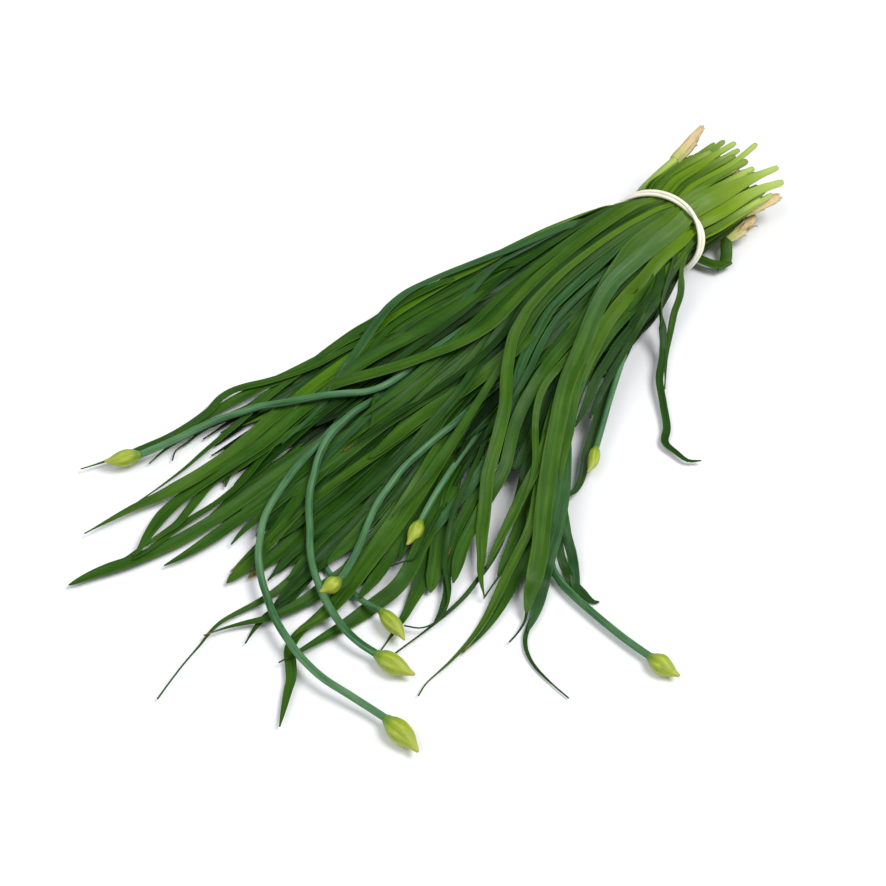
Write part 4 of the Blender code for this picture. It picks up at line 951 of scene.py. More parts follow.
def stalkSkin(line, width, cut):
    # a tube a little off round, whose radius is its half width and whose cut end is blunt
    form = stalkForm
    points, run = evenLine(line[line[:, 0] >= cut], form["ringEvery"])
    along, side, top = tubeFrame(points)
    angle = circle(form["around"])
    uneven, length = form["uneven"]
    corners = np.cos(3 * (angle[None, :] + form["turn"] * run[:, None]))
    radius = 0.5 * width * form["slimmer"] * (1 + form["corners"] * corners)
    radius = radius * (1 + uneven * np.sin(run / length))[:, None]
    radius[0] *= form["cutEnd"]
    rings = ringsRound(points, side, top, angle, radius, radius)
    pale = np.exp(-(run / form["paleReach"]) ** 2)
    young = np.clip(1 - (run[-1] - run) / form["youngReach"], 0, 1)
    uv = together(angle / (2 * np.pi), run[:, None] / mapUnit)
    data = together(drawn.uniform(0, 1), pale[:, None], young[:, None], 0.0)
    return closedLoft(rings, uv, data), points[-1], along[-1]


def budSkin(foot, tip, width):
    # an egg with a beak: its radius follows the swells along it, with ribs (the size of a cosine round
    # it) and bulges (sines round and along it) that fade out at both ends
    form = budForm
    share = np.linspace(0, 1, form["rings"])
    profile = smoothLine([(*pair, 0) for pair in zip(form["shares"], form["swells"])], form["samples"])
    swell = np.interp(share, profile[:, 0], profile[:, 1])[:, None]
    axis = unit(tip - foot)
    side = unit(np.cross(upward, axis))
    bendFrom, bendOver = form["beakFrom"]
    bend = form["beakBend"] * np.clip((share - bendFrom) / bendOver, 0, 1) ** 2
    centre = foot + (tip - foot) * share[:, None] + side * (bend * drawn.choice([-1, 1]))[:, None]
    share = share[:, None]
    angle = circle(form["around"])
    turn = angle[None, :] + form["ribTurn"] * share
    body = np.sin(np.pi * np.clip(share * form["bodyEnds"], 0, 1))
    start = drawn.uniform(0, 6)
    ribs = np.abs(np.cos(0.5 * form["ribs"] * turn)) * body
    bulges = np.sin(form["floretsRound"] * turn + start) * body
    bulges = bulges * np.sin(form["floretsAlong"] * share + start)
    radius = 0.5 * width * swell * (form["between"] + form["ribDepth"] * ribs + form["florets"] * bulges)
    centre[:, 2] = np.maximum(centre[:, 2], radius.max(axis=1) + form["lowest"])
    rings = ringsRound(centre, side, np.cross(axis, side), angle, radius, radius)
    uv = together(angle / (2 * np.pi), share * form["mapLength"])
    return closedLoft(rings, uv, together(drawn.uniform(0, 1), share, ribs, 0.0))


# Routes into skins, one mesh for each tone of green
def leafLine(route, lift):
    # a laid leaf's line, with its hidden start where its route begins past the neck
    x, y = route[0][:2]
    start = hiddenStart(x, y) if x > startForm["from"] else []
    return gripped(smoothLine(start + laid(route, lift), leafForm["samples"]))


stalkLines = [(0.5 * row[0], stalkLine(row[1], row[2], row[5])) for row in stalkRoutes]
skinsByTone = {}
for tone, paleness, width, narrowing, lift, route, *opens in sorted(leafRoutes, key=lambda row: row[4]):
    line = leafLine(route, lift)
    lean = leafForm["lean"] * drawn.uniform(-1, 1) * np.interp(width, *leafForm["leanByWidth"])
    stem = leafForm["splayedStem"] if tone == "pale" else None
    shape = leafShape(line, width, narrowing, lean, leafForm["ringEvery"], stem, *opens)
    stacked(shape, width, leafForm["ringEvery"], route[0][0])
    skin = leafSkin(shape, paleness, leafForm["around"], leafForm["dryTips"])
    skinsByTone.setdefault(tone, []).append(skin)
print("leaves laid on the bunch:", len(leafRoutes))


def innerLine(across, level, rise):
    # a leaf inside the bunch: it keeps its share of the height and of the way to the edge
    form = innerForm
    shorter, power = form["nearShorter"]
    length = 1 - shorter * max(across, 0) ** power - form["farShorter"] * max(-across, 0)
    reach = drawn.uniform(*form["reach"]) * length
    fanFrom, count = form["fan"]
    stations = np.concatenate([[drawn.uniform(*form["cut"])], form["stations"],
                               np.linspace(fanFrom, reach, count)])
    wander = drawn.uniform(-1, 1, len(stations)) * np.interp(stations, *form["wander"])
    drawnIn, edge = (form["nearIn"], nearEdge) if across > 0 else (form["farIn"], farEdge)
    y = across * edge(stations) * np.interp(stations, form["inAt"], drawnIn) + wander
    foot = pileFoot(stations, across) + form["aboveFoot"]
    top = pileTop(stations, y) - np.interp(stations, form["inAt"], form["below"]) - rise
    z = foot + level * np.maximum(top - foot, form["leastRoom"])
    return gripped(smoothLine(np.stack([stations, y, z], axis=1), form["samples"]))


def innerLeaf(across, level):
    # the tone and skin of a leaf inside the bunch, led past the stalks
    form = innerForm
    width = drawn.uniform(*form["widths"])
    lean = drawn.uniform(-form["lean"], form["lean"])
    line = innerLine(across, level, 0.5 * width * math.sin(math.radians(abs(lean))))
    shape = leafShape(line, width, drawn.uniform(*form["narrowing"]), lean, form["ringEvery"])
    points = bentClear(shape["points"], width, passingSides(shape["points"], width), form["ringEvery"])
    points[:, 2] = np.maximum(points[:, 2], leafForm["lowestMiddle"])
    shape["points"] = points
    # leaves low in the bunch take the darkest tone as painted shade
    tone = "deep"
    if level > form["deep"]:
        tone = form["tones"][drawn.choice(len(form["tones"]), p=form["toneShares"])]
    return tone, leafSkin(shape, drawn.uniform(0, 1), form["around"], 0)


for level, columns in zip(innerForm["levels"], innerForm["columns"]):
    outermost, moved = innerForm["spacing"]
    for across in np.linspace(-outermost, outermost, columns) + drawn.uniform(-moved, moved, columns):
        tone, skin = innerLeaf(across, level)
        skinsByTone.setdefault(tone, []).append(skin)
skinsByTone["olive"].append(foldedSkin())
print("leaves inside the bunch:", sum(innerForm["columns"]))


# The rubber band
bandFinish = {
    "around": 14,
    "rings": 520,
    "squash": 0.90,
    "twist": (1.5, 0.42),   # turns of the windings round each other in one round, and how uneven that is
    "twistFrom": 0.1 * np.pi,
    "from": 35.0,           # angle at which the first winding starts
    "uneven": 0.02,
    "lowest": 0.05,
    "mapLength": 0.2,       # how far its map reaches in each radian
}


def bandSkin():
    # a tube carried twice round the neck, its section a little flattened against the leaves. The tube
    # winds round the band's own line, so that its two windings lie side by side and cross over.
    form, finish = bandForm, bandFinish
    turn = np.linspace(0, 4 * np.pi, finish["rings"], endpoint=False)
    turns, uneven = finish["twist"]
    twist = turns * turn + uneven * np.sin(3 * turn) + finish["twistFrom"]
    above = form["over"] * np.sin(twist)
    angle = turn + np.radians(finish["from"])
    y = form["nearer"] + (form["halfWidth"] + above) * np.cos(angle)
    z = bandMiddle + (form["halfHeight"] + above) * np.sin(angle)
    x = bandX(y, z) + form["beside"] * np.cos(twist)
    line = np.stack([x, y, np.maximum(z, form["radius"] + finish["lowest"])], axis=1)
    along = unit(np.roll(line, -1, axis=0) - np.roll(line, 1, axis=0))
    out = (line - [0, form["nearer"], bandMiddle]) * [0, 1, 1]
    out = unit(out - along * np.sum(out * along, axis=1)[:, None])
    radius = (form["radius"] * (1 + finish["uneven"] * np.sin(5 * turn + 1)))[:, None]
    angles = circle(finish["around"])
    rings = ringsRound(line, np.cross(along, out), out, angles, radius, finish["squash"] * radius)
    verts = rings.reshape(-1, 3)
    quads = ringFaces(*rings.shape[:2], True)
    return {
        "verts": verts,
        "quads": quads[:, ::outwardStep(verts, quads)],
        "tris": np.zeros((0, 3), int),
        "uv": together(0.5 + 0.5 * np.cos(angles), turn[:, None] * finish["mapLength"]).reshape(-1, 2),
        "data": np.zeros((len(verts), 4)),
    }


# Dry sheaths: width, thickness, swell along it, torn strips that stand off it, how far they curl, how
# brown it is, and its route
sheathRoutes = [
    (6.4, 6.2, (0.92, 1.00, 1.04, 1.00, 0.90, 0.66, 0.50), 4, 0.6, 0.2, [(-36, -20.4, 28.4),
        (-43, -21.2, 29.2), (-50, -22.3, 30), (-56.5, -24.2, 30.5), (-61.5, -25.2, 31)]),
    (6.0, 5.0, (0.70, 0.90, 1.00, 1.06, 1.10, 1.04, 0.76), 3, 0.6, 0, [(-43, 18.6, 15.2), (-51, 19.6, 14.8),
        (-59, 20.4, 14.4), (-64.5, 21.4, 14)]),
    (8.4, 3.4, (0.60, 0.90, 1.00, 0.96, 0.90, 0.78, 0.50), 13, 2.2, 0.5, [(-30, 19.8, 8),
        (-37.5, 19.7, 8.4), (-44, 19.2, 8.8), (-50, 18.4, 9.4)]),
    (5.2, 2.8, (0.70, 0.96, 0.90, 0.86, 0.80, 0.60, 0.30), 13, 3.0, 1.0, [(-42, 6.6, 28), (-47.5, 7.4, 29),
        (-53, 8.8, 29.8)]),
]
sheathForm = {
    "around": 30,
    "rings": 46,
    "wrinkle": 0.12,
    "folds": 7,
    "foldTurn": 2.0,        # how far the folds wind round it
    "foldShare": 0.6,       # the rest of the wrinkles is crumples
    "raggedEnd": (0.88, 0.12, 1.1),         # from this share on, over this share, teeth this long
    "teeth": 5,
    "endBrown": 0.35,       # how much browner the teeth are
    "lengthBrown": 0.5,     # and the far end of a brown sheath
    "stripsAt": (0.15, 0.65),
    "stripFoot": 0.42,      # how far out it stands, as a share of the sheath's width
    "stripWidth": (0.6, 1.6),
    "stripLength": (3.5, 7.5),
    "stripThick": 0.22,
    "stripRings": 22,
    "stripAround": 8,
    "stripAlong": 0.9,      # share of its length by which it goes on along the sheath
    "stripAside": 0.5,      # how far its face turns with the way it bends aside
    "stripCurl": (0.4, 1.0),
    "stripTwist": 70.0,
    "stripChannel": 0.5,
    "stripTip": (2.2, 0.12),        # power by which it narrows, and half its width at the end
    "stripBrown": (0.1, 0.4, 0.6),  # how brown strips are, what a brown sheath adds, and the tip
    "lowest": 0.6,
}


def tornStrip(foot, along, outward, curl, brown):
    # a strip that bends outward and aside by the square of the way along it, and twists
    form = sheathForm
    length = drawn.uniform(*form["stripLength"])
    far = np.linspace(0, 1, form["stripRings"])[:, None]
    bend = curl * drawn.uniform(*form["stripCurl"])
    aside = np.cross(along, outward) * drawn.uniform(-1, 1)
    points = foot + along * far * length * form["stripAlong"] + (outward * bend + aside * curl) * far ** 2
    points[:, 2] = np.maximum(points[:, 2], form["lowest"])
    ways = directions(points)
    across = unit(np.cross(unit(outward + form["stripAside"] * aside * far), ways))
    normal = np.cross(ways, across)
    twist = np.radians(form["stripTwist"] * drawn.uniform(-1, 1)) * far
    sides = across * np.cos(twist) + normal * np.sin(twist)
    normals = normal * np.cos(twist) - across * np.sin(twist)
    power, least = form["stripTip"]
    half = 0.5 * drawn.uniform(*form["stripWidth"]) * (1 - far[:, 0] ** power) + least
    thin = np.full_like(half, form["stripThick"])
    rings, place = strapRings(points, sides, normals, half, thin, form["stripAround"],
                              form["stripChannel"], 0.0)
    least, bySheath, byTip = form["stripBrown"]
    dark = least + bySheath * brown + byTip * far ** 2
    return closedLoft(rings, together(place, far * length / mapUnit),
                      together(drawn.uniform(0, 1), far, dark, 0.0))


def sheathSkin(width, thick, shape, strips, curl, brown, route):
    # a flattened tube with lengthwise folds and a ragged end, and strips torn off it that curl outward
    form = sheathForm
    line = smoothLine(route, form["rings"])
    along, side, top = tubeFrame(line)
    share = np.linspace(0, 1, form["rings"])[:, None]
    swell = np.interp(share, np.linspace(0, 1, len(shape)), shape)
    angle = circle(form["around"])
    start = drawn.uniform(0, 6, 3)
    fold = np.cos(form["folds"] * angle + form["foldTurn"] * share + start[0])
    crumple = np.sin(3 * angle - 9 * share + start[1]) * np.sin(5 * share + start[2])
    wrinkles = form["foldShare"] * fold + (1 - form["foldShare"]) * crumple
    radius = swell * (1 - form["wrinkle"] + form["wrinkle"] * wrinkles)
    raggedFrom, raggedOver, tooth = form["raggedEnd"]
    teeth = 0.5 + 0.5 * np.cos(form["teeth"] * angle + start[1])
    ragged = np.clip((share - raggedFrom) / raggedOver, 0, 1) * teeth
    rings = ringsRound(line, side, top, angle, 0.5 * width * radius, 0.5 * thick * radius)
    rings = rings + (tooth * ragged)[..., None] * along[:, None, :]
    run = share * np.linalg.norm(line[-1] - line[0])
    dark = np.clip(form["endBrown"] * ragged + form["lengthBrown"] * brown * share, 0, 1)
    skins = [closedLoft(rings, together(0.5 + 0.5 * np.cos(angle), run / mapUnit),
                        together(drawn.uniform(0, 1), share, dark, 0.0))]
    for k in range(strips):
        turn = 2 * np.pi * (k + drawn.uniform(0.1, 0.9)) / strips
        i = int(drawn.uniform(*form["stripsAt"]) * (form["rings"] - 1))
        toSide, toTop = side[i] * np.cos(turn), top[i] * np.sin(turn)
        foot = line[i] + form["stripFoot"] * (toSide * width + toTop * thick)
        skins.append(tornStrip(foot, along[i], toSide + toTop, curl, brown))
    return joined(skins)


# Materials
def tint(red, green, blue):
    # an sRGB colour from 0 to 255 as the linear one that Blender takes
    share = np.array([red, green, blue]) / 255
    linear = np.where(share <= 0.04045, share / 12.92, ((share + 0.055) / 1.055) ** 2.4)
    return (*linear.tolist(), 1.0)


def setInputs(node, values):
    # constants in a node's named inputs
    for key, value in values.items():
        node.inputs[key].default_value = value


def addNode(tree, kind, inputs=None, **settings):
    # a node with its settings, and with a value or another node's output in each named input
    node = tree.nodes.new(kind)
    for key, value in settings.items():
        setattr(node, key, value)
    for key, value in (inputs or {}).items():
        if isinstance(value, bpy.types.NodeSocket):
            tree.links.new(value, node.inputs[key])
        else:
            node.inputs[key].default_value = value
    return node


def reckon(tree, operation, first, second=0.0, clamped=False):
    # a math node's result
    node = addNode(tree, "ShaderNodeMath", {0: first, 1: second}, operation=operation, use_clamp=clamped)
    return node.outputs[0]


def plusShare(tree, first, second, share):
    # the first value and a share of the second
    return reckon(tree, "ADD", first, reckon(tree, "MULTIPLY", second, share))


def spread(tree, value, low, high, toLow=0.0, toHigh=1.0):
    # a value read in one range and given in another, by a straight line held at its ends
    node = addNode(tree, "ShaderNodeMapRange", {"Value": value, "From Min": low, "From Max": high,
                                                "To Min": toLow, "To Max": toHigh})
    return node.outputs[0]


def blendColour(tree, share, first, second):
    # from the first colour to the second: sockets 6 and 7 of a mix node take them, and 2 gives the blend
    node = addNode(tree, "ShaderNodeMix", {"Factor": share, 6: first, 7: second}, data_type="RGBA")
    return node.outputs[2]


def layer(tree, value, form):
    # a colour, and as its share the value's place in the range that the form gives after the colour
    colour, *given = form
    return spread(tree, value, *given), tint(*colour)


def layered(tree, colour, *layers):
    # each layer's colour over what is below it, by its share
    for share, over in layers:
        colour = blendColour(tree, share, colour, over)
    return colour


def noise(tree, vector, scale, detail=3.0, roughness=0.55):
    # noise from 0 to 1, read at the vector times the scale
    node = addNode(tree, "ShaderNodeTexNoise", {"Vector": vector, "Scale": scale, "Detail": detail,
                                                "Roughness": roughness})
    return node.outputs[0]


def objectPlace(tree):
    # the place on the object, in metres
    return addNode(tree, "ShaderNodeTexCoord").outputs["Object"]


def scaledPlace(tree, values, scales):
    # a place for noise to be read at, from three values each times its scale
    scaled = [reckon(tree, "MULTIPLY", value, scale) for value, scale in zip(values, scales)]
    return addNode(tree, "ShaderNodeCombineXYZ", dict(enumerate(scaled))).outputs[0]


def offMiddle(tree, across):
    # how far a point is from the middle of its leaf, 0.5 at the edges
    return reckon(tree, "ABSOLUTE", reckon(tree, "SUBTRACT", across, 0.5))


def bladeReadings(tree, count):
    # where a point is across and along its leaf, and the first few of the four numbers kept on it
    uv = addNode(tree, "ShaderNodeUVMap", uv_map="bladeMap").outputs[0]
    place = addNode(tree, "ShaderNodeSeparateXYZ", {0: uv}).outputs
    kept = addNode(tree, "ShaderNodeAttribute", attribute_name="bladeData", attribute_type="GEOMETRY")
    parts = addNode(tree, "ShaderNodeSeparateColor", {0: kept.outputs["Color"]}).outputs
    return (place[0], place[1], parts[0], parts[1], parts[2], kept.outputs["Alpha"])[:2 + count]


def newGroup(name, inputs, outputs):
    # a node group whose sockets are given as name: kind, and the two nodes at its ends
    tree = bpy.data.node_groups.new(name, "ShaderNodeTree")
    for way, sockets in (("INPUT", inputs), ("OUTPUT", outputs)):
        for socket, kind in sockets.items():
            tree.interface.new_socket(name=socket, in_out=way, socket_type="NodeSocket" + kind)
    return tree, tree.nodes.new("NodeGroupInput").outputs, tree.nodes.new("NodeGroupOutput").inputs


def newMaterial(name):
    # a material with its node tree and its Principled shader
    made = bpy.data.materials.new(name)
    made.use_nodes = True
    return made, made.node_tree, made.node_tree.nodes["Principled BSDF"]


def dressed(tree, shader, colour, roughness, height, distance, strength):
    # colour, roughness and a bump of that height on the shader
    bump = addNode(tree, "ShaderNodeBump", {"Height": height, "Distance": distance, "Strength": strength})
    tree.links.new(colour, shader.inputs["Base Color"])
    tree.links.new(roughness, shader.inputs["Roughness"])
    tree.links.new(bump.outputs[0], shader.inputs["Normal"])


# Plant tissue. Pairs are the range read and four numbers also the range that it is turned into.
tissueForm = {
    "eachShift": 40.0,      # shifts the noise from leaf to leaf
    "veinLength": 5.0,      # veins are this much noise in 100 mm
    "stripe": (0.36, 0.64),
    "shadeBandScales": (3.6, 2.2),    # scales of broad bands of painted channel and keel shade, across a leaf and along it
    "blotches": 70.0,
    "mottles": 900.0,
    "edge": (0.44, 0.495),
    # the edges are lighter by a painted highlight
    "edgeHighlight": 0.50,
    "rib": (0.0, 0.07, 1.0, 0.0),
    "ribLight": 0.12,
    # painted shade of the channel and keel, as broad darker and lighter bands
    "bandShade": (0.34, 0.66, -0.14, 0.34),
    "blotchLight": (0.35, 0.7, -0.10, 0.22),
    "leafLight": (0.0, 1.0, -0.12, 0.20),
    "later": (1.15, 1.65),  # where along a leaf its later colour comes in, in 100 mm
    "base": (0.0, 1.0, 0.45, 0.95),         # share of the base colour by how pale the leaf is
    "baseStripe": (0.0, 1.0, 0.85, 1.0),
    "cutPower": 16.0,       # the cut end's colour keeps to the end
    "cutPale": (0.2, 1.0),
    "dry": (0.3, 0.55),
    "spots": (0.70, 0.76, 0.0, 0.35),
    "roughness": (0.3, 0.7, 0.34, 0.50),
    "stripeRough": 0.06,
    "mottleHeight": 0.35,
}


def makeTissueGroup():
    # lengthwise veins are noise stretched along the leaf, and their lighter stripes are partly painted
    # sheen; edges are lighter by a painted highlight, and the base and tip change hue. How light a point
    # is, is the sum of its stripe, edge highlight, rib, broad bands of painted channel and keel shade,
    # blotches and its leaf's share.
    form = tissueForm
    tree, given, out = newGroup(
        "plantTissue",
        {"Blade": "Color", "Light": "Color", "Base": "Color", "Cut End": "Color", "Dry Tip": "Color",
         "Vein Count": "Float", "Vein And Sheen Strength": "Float", "Later Blade": "Color", "Later Vein And Painted Highlight": "Color",
         "Later Share": "Float"},
        {"Colour": "Color", "Roughness": "Float", "Height": "Float"})
    across, along, each, pale, paleness, tip = bladeReadings(tree, 4)
    place = objectPlace(tree)
    onLeaf = (across, along, each)
    fine = (given["Vein Count"], form["veinLength"], form["eachShift"])
    shadeBandScales = (*form["shadeBandScales"], form["eachShift"])
    veins = noise(tree, scaledPlace(tree, onLeaf, fine), 1.0, 2.0, 0.6)
    shadeBands = noise(tree, scaledPlace(tree, onLeaf, shadeBandScales), 1.0, 1.0)
    stripe = spread(tree, veins, *form["stripe"])
    blotch = noise(tree, place, form["blotches"], 3.0)
    mottle = noise(tree, place, form["mottles"], 2.0)
    off = offMiddle(tree, across)
    # painted light and shade: the vein stripes are partly painted sheen, the edges a painted highlight, the
    # bands painted channel and keel shade
    light = reckon(tree, "MULTIPLY", stripe, given["Vein And Sheen Strength"])
    light = plusShare(tree, light, spread(tree, off, *form["edge"]), form["edgeHighlight"])
    light = plusShare(tree, light, spread(tree, off, *form["rib"]), form["ribLight"])
    light = reckon(tree, "ADD", light, spread(tree, shadeBands, *form["bandShade"]))
    light = reckon(tree, "ADD", light, spread(tree, blotch, *form["blotchLight"]))
    light = reckon(tree, "ADD", light, spread(tree, each, *form["leafLight"]), True)
    later = reckon(tree, "MULTIPLY", spread(tree, along, *form["later"]), given["Later Share"])
    blade = blendColour(tree, later, given["Blade"], given["Later Blade"])
    lit = blendColour(tree, later, given["Light"], given["Later Vein And Painted Highlight"])
    base = reckon(tree, "MULTIPLY", pale, spread(tree, paleness, *form["base"]))
    base = reckon(tree, "MULTIPLY", base, spread(tree, stripe, *form["baseStripe"]), True)
    cut = reckon(tree, "POWER", pale, form["cutPower"])
    cut = reckon(tree, "MULTIPLY", cut, spread(tree, paleness, *form["cutPale"]))
    dry = reckon(tree, "MULTIPLY", tip, spread(tree, mottle, *form["dry"]), True)
    colour = layered(
        tree, blade,
        (light, lit),
        (base, given["Base"]),
        (cut, given["Cut End"]),
        (dry, given["Dry Tip"]),
        (spread(tree, mottle, *form["spots"]), given["Dry Tip"]))
    roughness = plusShare(tree, spread(tree, blotch, *form["roughness"]), stripe, form["stripeRough"])
    tree.links.new(colour, out["Colour"])
    tree.links.new(roughness, out["Roughness"])
    tree.links.new(plusShare(tree, veins, mottle, form["mottleHeight"]), out["Height"])
    return tree


tissueGroup = makeTissueGroup()


def plantMaterial(name, look):
    # the tissue group's colour, roughness and height on a Principled shader
    made, tree, shader = newMaterial(name)
    tissue = addNode(tree, "ShaderNodeGroup", node_tree=tissueGroup)
    setInputs(tissue, look["tissue"])
    colour, roughness, height = tissue.outputs
    dressed(tree, shader, colour, roughness, height, *look["bump"])
    setInputs(shader, {"Specular IOR Level": 0.16, "Coat Weight": look["coat"], "Coat Roughness": 0.35,
                       "Sheen Weight": look["bloom"], "Sheen Roughness": 0.5,
                       "Sheen Tint": tint(190, 215, 215)})
    return made


def leafLook(blade, light, base, bloom=0.0, coat=0.05):
    # a tone of leaf: its dark green, the lighter green of its veins and painted highlights, the green of
    # its base, its bloom and its gloss
    return {
        "tissue": {"Blade": tint(*blade), "Light": tint(*light), "Base": tint(*base),
                   "Cut End": tint(176, 198, 100), "Dry Tip": tint(150, 120, 60),
                   "Vein Count": 15.0, "Vein And Sheen Strength": 0.34},
        "bump": (0.00022, 0.8),     # distance and strength
        "bloom": bloom,
        "coat": coat,
    }


leafLooks = {
    # the darkest tone paints the shade deep inside the bunch
    "deep": leafLook((8, 28, 4), (22, 52, 10), (76, 108, 10)),
    "dark": leafLook((16, 50, 6), (44, 84, 20), (92, 128, 16)),
    "mid": leafLook((32, 72, 6), (62, 102, 26), (104, 142, 18)),
    "bright": leafLook((54, 96, 4), (86, 128, 20), (128, 162, 4)),
    # the blue-grey of this tone is partly the leaves' waxy bloom and partly painted reflection of the white
    # studio
    "glaucous": leafLook((28, 68, 26), (62, 104, 56), (124, 160, 40), 0.06, 0.0),
    "olive": leafLook((44, 82, 8), (76, 114, 30), (118, 152, 2), 0.02),
    "greyGreen": leafLook((54, 92, 48), (90, 124, 78), (124, 154, 12), 0.08),
    "pale": leafLook((80, 120, 26), (124, 154, 62), (148, 174, 76)),
}
# the big grey-green leaf turns olive toward its tip
leafLooks["greyGreen"]["tissue"].update({"Later Blade": tint(44, 82, 8), "Later Vein And Painted Highlight": tint(76, 114, 30),
                                         "Later Share": 1.0})
for tone, skins in skinsByTone.items():
    skin = joined(skins)
    meshPiece("leaves_" + tone.lower(), skin, plantMaterial("leaf_" + tone.lower(), leafLooks[tone]),
              "leaf", "leaf_bunch")
    print("leaves", tone, len(skins), "faces", len(skin["quads"]) + len(skin["tris"]))

# the stalks take the same tissue, with its painted highlight and painted shade bands
stalkLook = {
    "tissue": {"Blade": tint(40, 88, 44), "Light": tint(104, 148, 104), "Base": tint(156, 190, 70),
               "Cut End": tint(216, 226, 160), "Dry Tip": tint(150, 125, 70),
               "Vein Count": 13.0, "Vein And Sheen Strength": 0.42},
    "bump": (0.00015, 0.8),
    "bloom": 0.12,
    "coat": 0.0,
}

# In the looks below, a colour may have with it the range that brings it in, and its shares at both ends
budLook = {
    "foot": (96, 136, 30),
    "body": ((140, 164, 22), 0.02, 0.30),
    "upper": ((172, 180, 60), 0.45, 0.95),
    "rib": (192, 200, 72),
    "ribShare": (3.0, 0.75),        # power that keeps it on the ridges, and how strong it is there
    "streak": ((96, 128, 18), 0.50, 0.70, 0.0, 0.6),
    "tip": ((186, 160, 96), 0.93, 1.0, 0.0, 0.7),
    "streaks": (26.0, 14.0, 1.0),
    "mottles": 800.0,
    "roughness": (0.3, 0.7, 0.38, 0.55),
    "mottleHeight": 0.5,
    "bump": (0.0002, 0.8),
    "sheen": 0.1,
}


def makeBudMaterial():
    # green at the foot, yellow-green in the body, yellower on the ribs and pale along the beak
    look = budLook
    made, tree, shader = newMaterial("bud_spathe")
    across, along, each, share, rib = bladeReadings(tree, 3)
    streaks = noise(tree, scaledPlace(tree, (across, along, each), look["streaks"]), 1.0, 2.0)
    mottle = noise(tree, objectPlace(tree), look["mottles"], 3.0)
    power, most = look["ribShare"]
    ribShare = reckon(tree, "MULTIPLY", reckon(tree, "POWER", rib, power), most, True)
    colour = layered(
        tree, tint(*look["foot"]),
        layer(tree, share, look["body"]),
        layer(tree, share, look["upper"]),
        (ribShare, tint(*look["rib"])),
        layer(tree, streaks, look["streak"]),
        layer(tree, share, look["tip"]))
    roughness = spread(tree, mottle, *look["roughness"])
    height = plusShare(tree, streaks, mottle, look["mottleHeight"])
    dressed(tree, shader, colour, roughness, height, *look["bump"])
    setInputs(shader, {"Sheen Weight": look["sheen"]})
    return made


stalkMaterial = plantMaterial("flower_stalk", stalkLook)
budMaterial = makeBudMaterial()
for i, (width, cut, lift, tip, budWidth, route) in enumerate(stalkRoutes):
    node = "flower_stalk_" + str(i + 1)
    skin, foot, way = stalkSkin(stalkLines[i][1], width, cut[0])
    meshPiece("stalk_" + str(i + 1), skin, stalkMaterial, "stalk", node)
    rest = max(foot[2], 0.5 * budWidth + budForm["restsAt"])
    end = np.array(onPile(*tip, rest - float(pileTop(*tip))))
    bud = budSkin(foot - budForm["sunk"] * way, end, budWidth)
    meshPiece("bud_" + str(i + 1), bud, budMaterial, "stalk", node)
print("flower stalks and buds:", len(stalkRoutes))

bandLook = {
    "rubber": (247, 243, 226),
    "soil": ((222, 210, 178), 0.5, 0.75, 0.0, 0.45),
    "line": ((228, 220, 196), 0.0, 0.06, 0.3, 0.0),
    "grains": 1500.0,
    "patches": 160.0,
    "roughness": (0.3, 0.7, 0.45, 0.62),
    "bump": (0.0001, 0.6),
}


def makeBandMaterial():
    # cream rubber with faint mould lines along it and a little soil
    look = bandLook
    made, tree, shader = newMaterial("band_rubber")
    place = objectPlace(tree)
    grain = noise(tree, place, look["grains"], 3.0)
    soil = noise(tree, place, look["patches"], 4.0, 0.65)
    off = offMiddle(tree, bladeReadings(tree, 0)[0])
    colour = layered(
        tree, tint(*look["rubber"]),
        layer(tree, soil, look["soil"]),
        layer(tree, off, look["line"]))
    dressed(tree, shader, colour, spread(tree, grain, *look["roughness"]), grain, *look["bump"])
    return made


meshPiece("band", bandSkin(), makeBandMaterial(), "band", "rubber_band")

sheathLook = {
    "paper": (214, 198, 146),
    "warmer": ((222, 196, 150), 0.0, 1.0),
    "stem": ((168, 186, 84), 0.05, 0.5, 0.75, 0.0),
    "streak": ((152, 110, 70), 0.54, 0.74, 0.0, 0.55),
    "torn": ((96, 62, 40), 0.3, 0.6),
    "streaks": (15.0, 16.0, 20.0),
    "mottles": 700.0,
    "roughness": (0.3, 0.7, 0.68, 0.86),
    "mottleHeight": 0.4,
    "bump": (0.0003, 0.9),
}


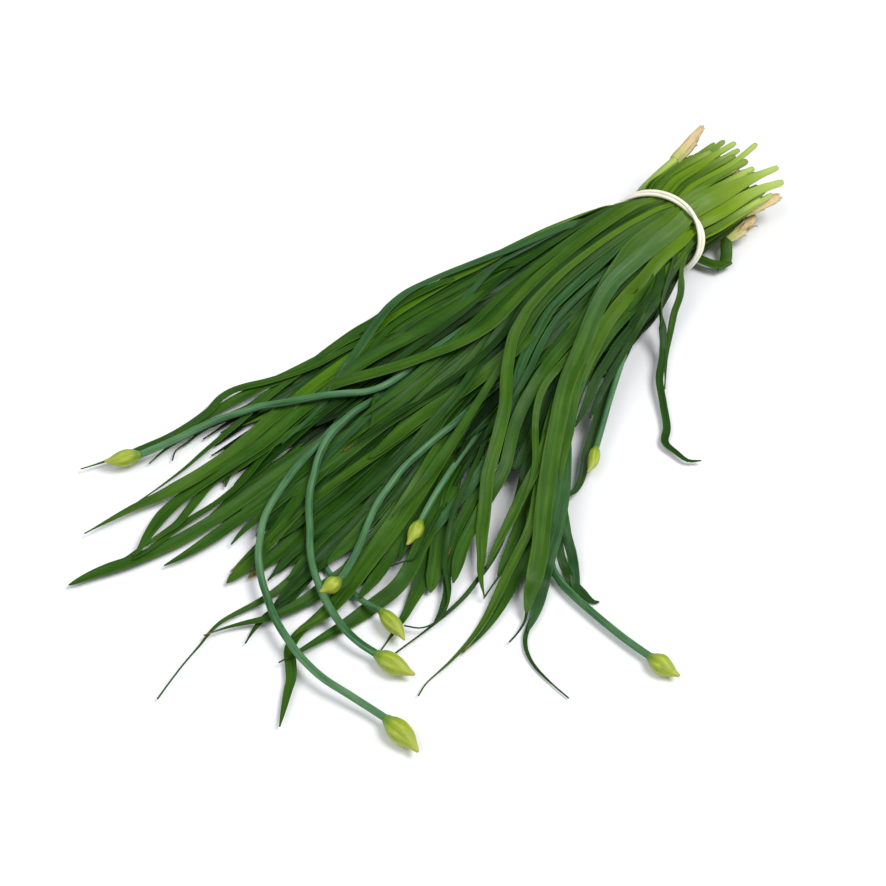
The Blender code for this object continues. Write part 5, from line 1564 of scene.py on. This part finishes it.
def makeSheathMaterial():
    # papery tan skin with brown streaks along it, darker at torn ends, and greener near the stem
    look = sheathLook
    made, tree, shader = newMaterial("sheath_paper")
    across, along, each, share, dark = bladeReadings(tree, 3)
    streaks = noise(tree, scaledPlace(tree, (across, along, each), look["streaks"]), 1.0, 3.0)
    mottle = noise(tree, objectPlace(tree), look["mottles"], 3.0)
    mottleShare, torn = layer(tree, mottle, look["torn"])
    colour = layered(
        tree, tint(*look["paper"]),
        layer(tree, each, look["warmer"]),
        layer(tree, share, look["stem"]),
        layer(tree, streaks, look["streak"]),
        (reckon(tree, "MULTIPLY", dark, mottleShare, True), torn))
    roughness = spread(tree, mottle, *look["roughness"])
    height = plusShare(tree, streaks, mottle, look["mottleHeight"])
    dressed(tree, shader, colour, roughness, height, *look["bump"])
    return made


sheathMaterial = makeSheathMaterial()
for i, row in enumerate(sheathRoutes):
    number = str(i + 1)
    meshPiece("sheath_" + number, sheathSkin(*row), sheathMaterial, "dry_sheath", "dry_sheath_" + number)
print("band and sheaths:", len(sheathRoutes))


# Floor and light
studio = {
    "floor": (244, 245, 248),
    "floorLighter": ((246, 247, 249), 0.3, 0.7),
    "floorSize": 6.0,
    "floorGrain": 9.0,
    "world": 0.28,
    "key": {"azimuth": 215, "elevation": 60, "distance": 2.7, "size": 1.5, "power": 58},
    "fill": {"azimuth": 80, "elevation": 55, "distance": 2.9, "size": 2.6, "power": 36},
}


def makeFloor():
    # pale paper in two tones that hardly differ
    half = studio["floorSize"] / 2
    corners = [(-half, -half, 0), (half, -half, 0), (half, half, 0), (-half, half, 0)]
    mesh = bpy.data.meshes.new("floor")
    mesh.from_pydata(corners, [], [(0, 1, 2, 3)])
    made, tree, shader = newMaterial("floor_paper")
    grain = noise(tree, objectPlace(tree), studio["floorGrain"], 2.0)
    colour = layered(tree, tint(*studio["floor"]), layer(tree, grain, studio["floorLighter"]))
    tree.links.new(colour, shader.inputs["Base Color"])
    setInputs(shader, {"Roughness": 0.9, "Specular IOR Level": 0.1})
    mesh.materials.append(made)
    placed("floor", mesh)


def makeLight(name):
    # a round lamp from the studio
    form = studio[name]
    lamp = bpy.data.lights.new(name, "AREA")
    lamp.shape = "DISK"
    lamp.size = form["size"]
    lamp.energy = form["power"]
    aimed(name, lamp, form)


def makeWorld():
    # even white light from all round
    world = bpy.data.worlds.new("studio")
    world.use_nodes = True
    back = world.node_tree.nodes["Background"]
    setInputs(back, {"Color": tint(255, 255, 255), "Strength": studio["world"]})
    bpy.context.scene.world = world


makeFloor()
makeLight("key")
makeLight("fill")
makeWorld()
bpy.context.scene.view_settings.view_transform = "Standard"
print("studio ready")
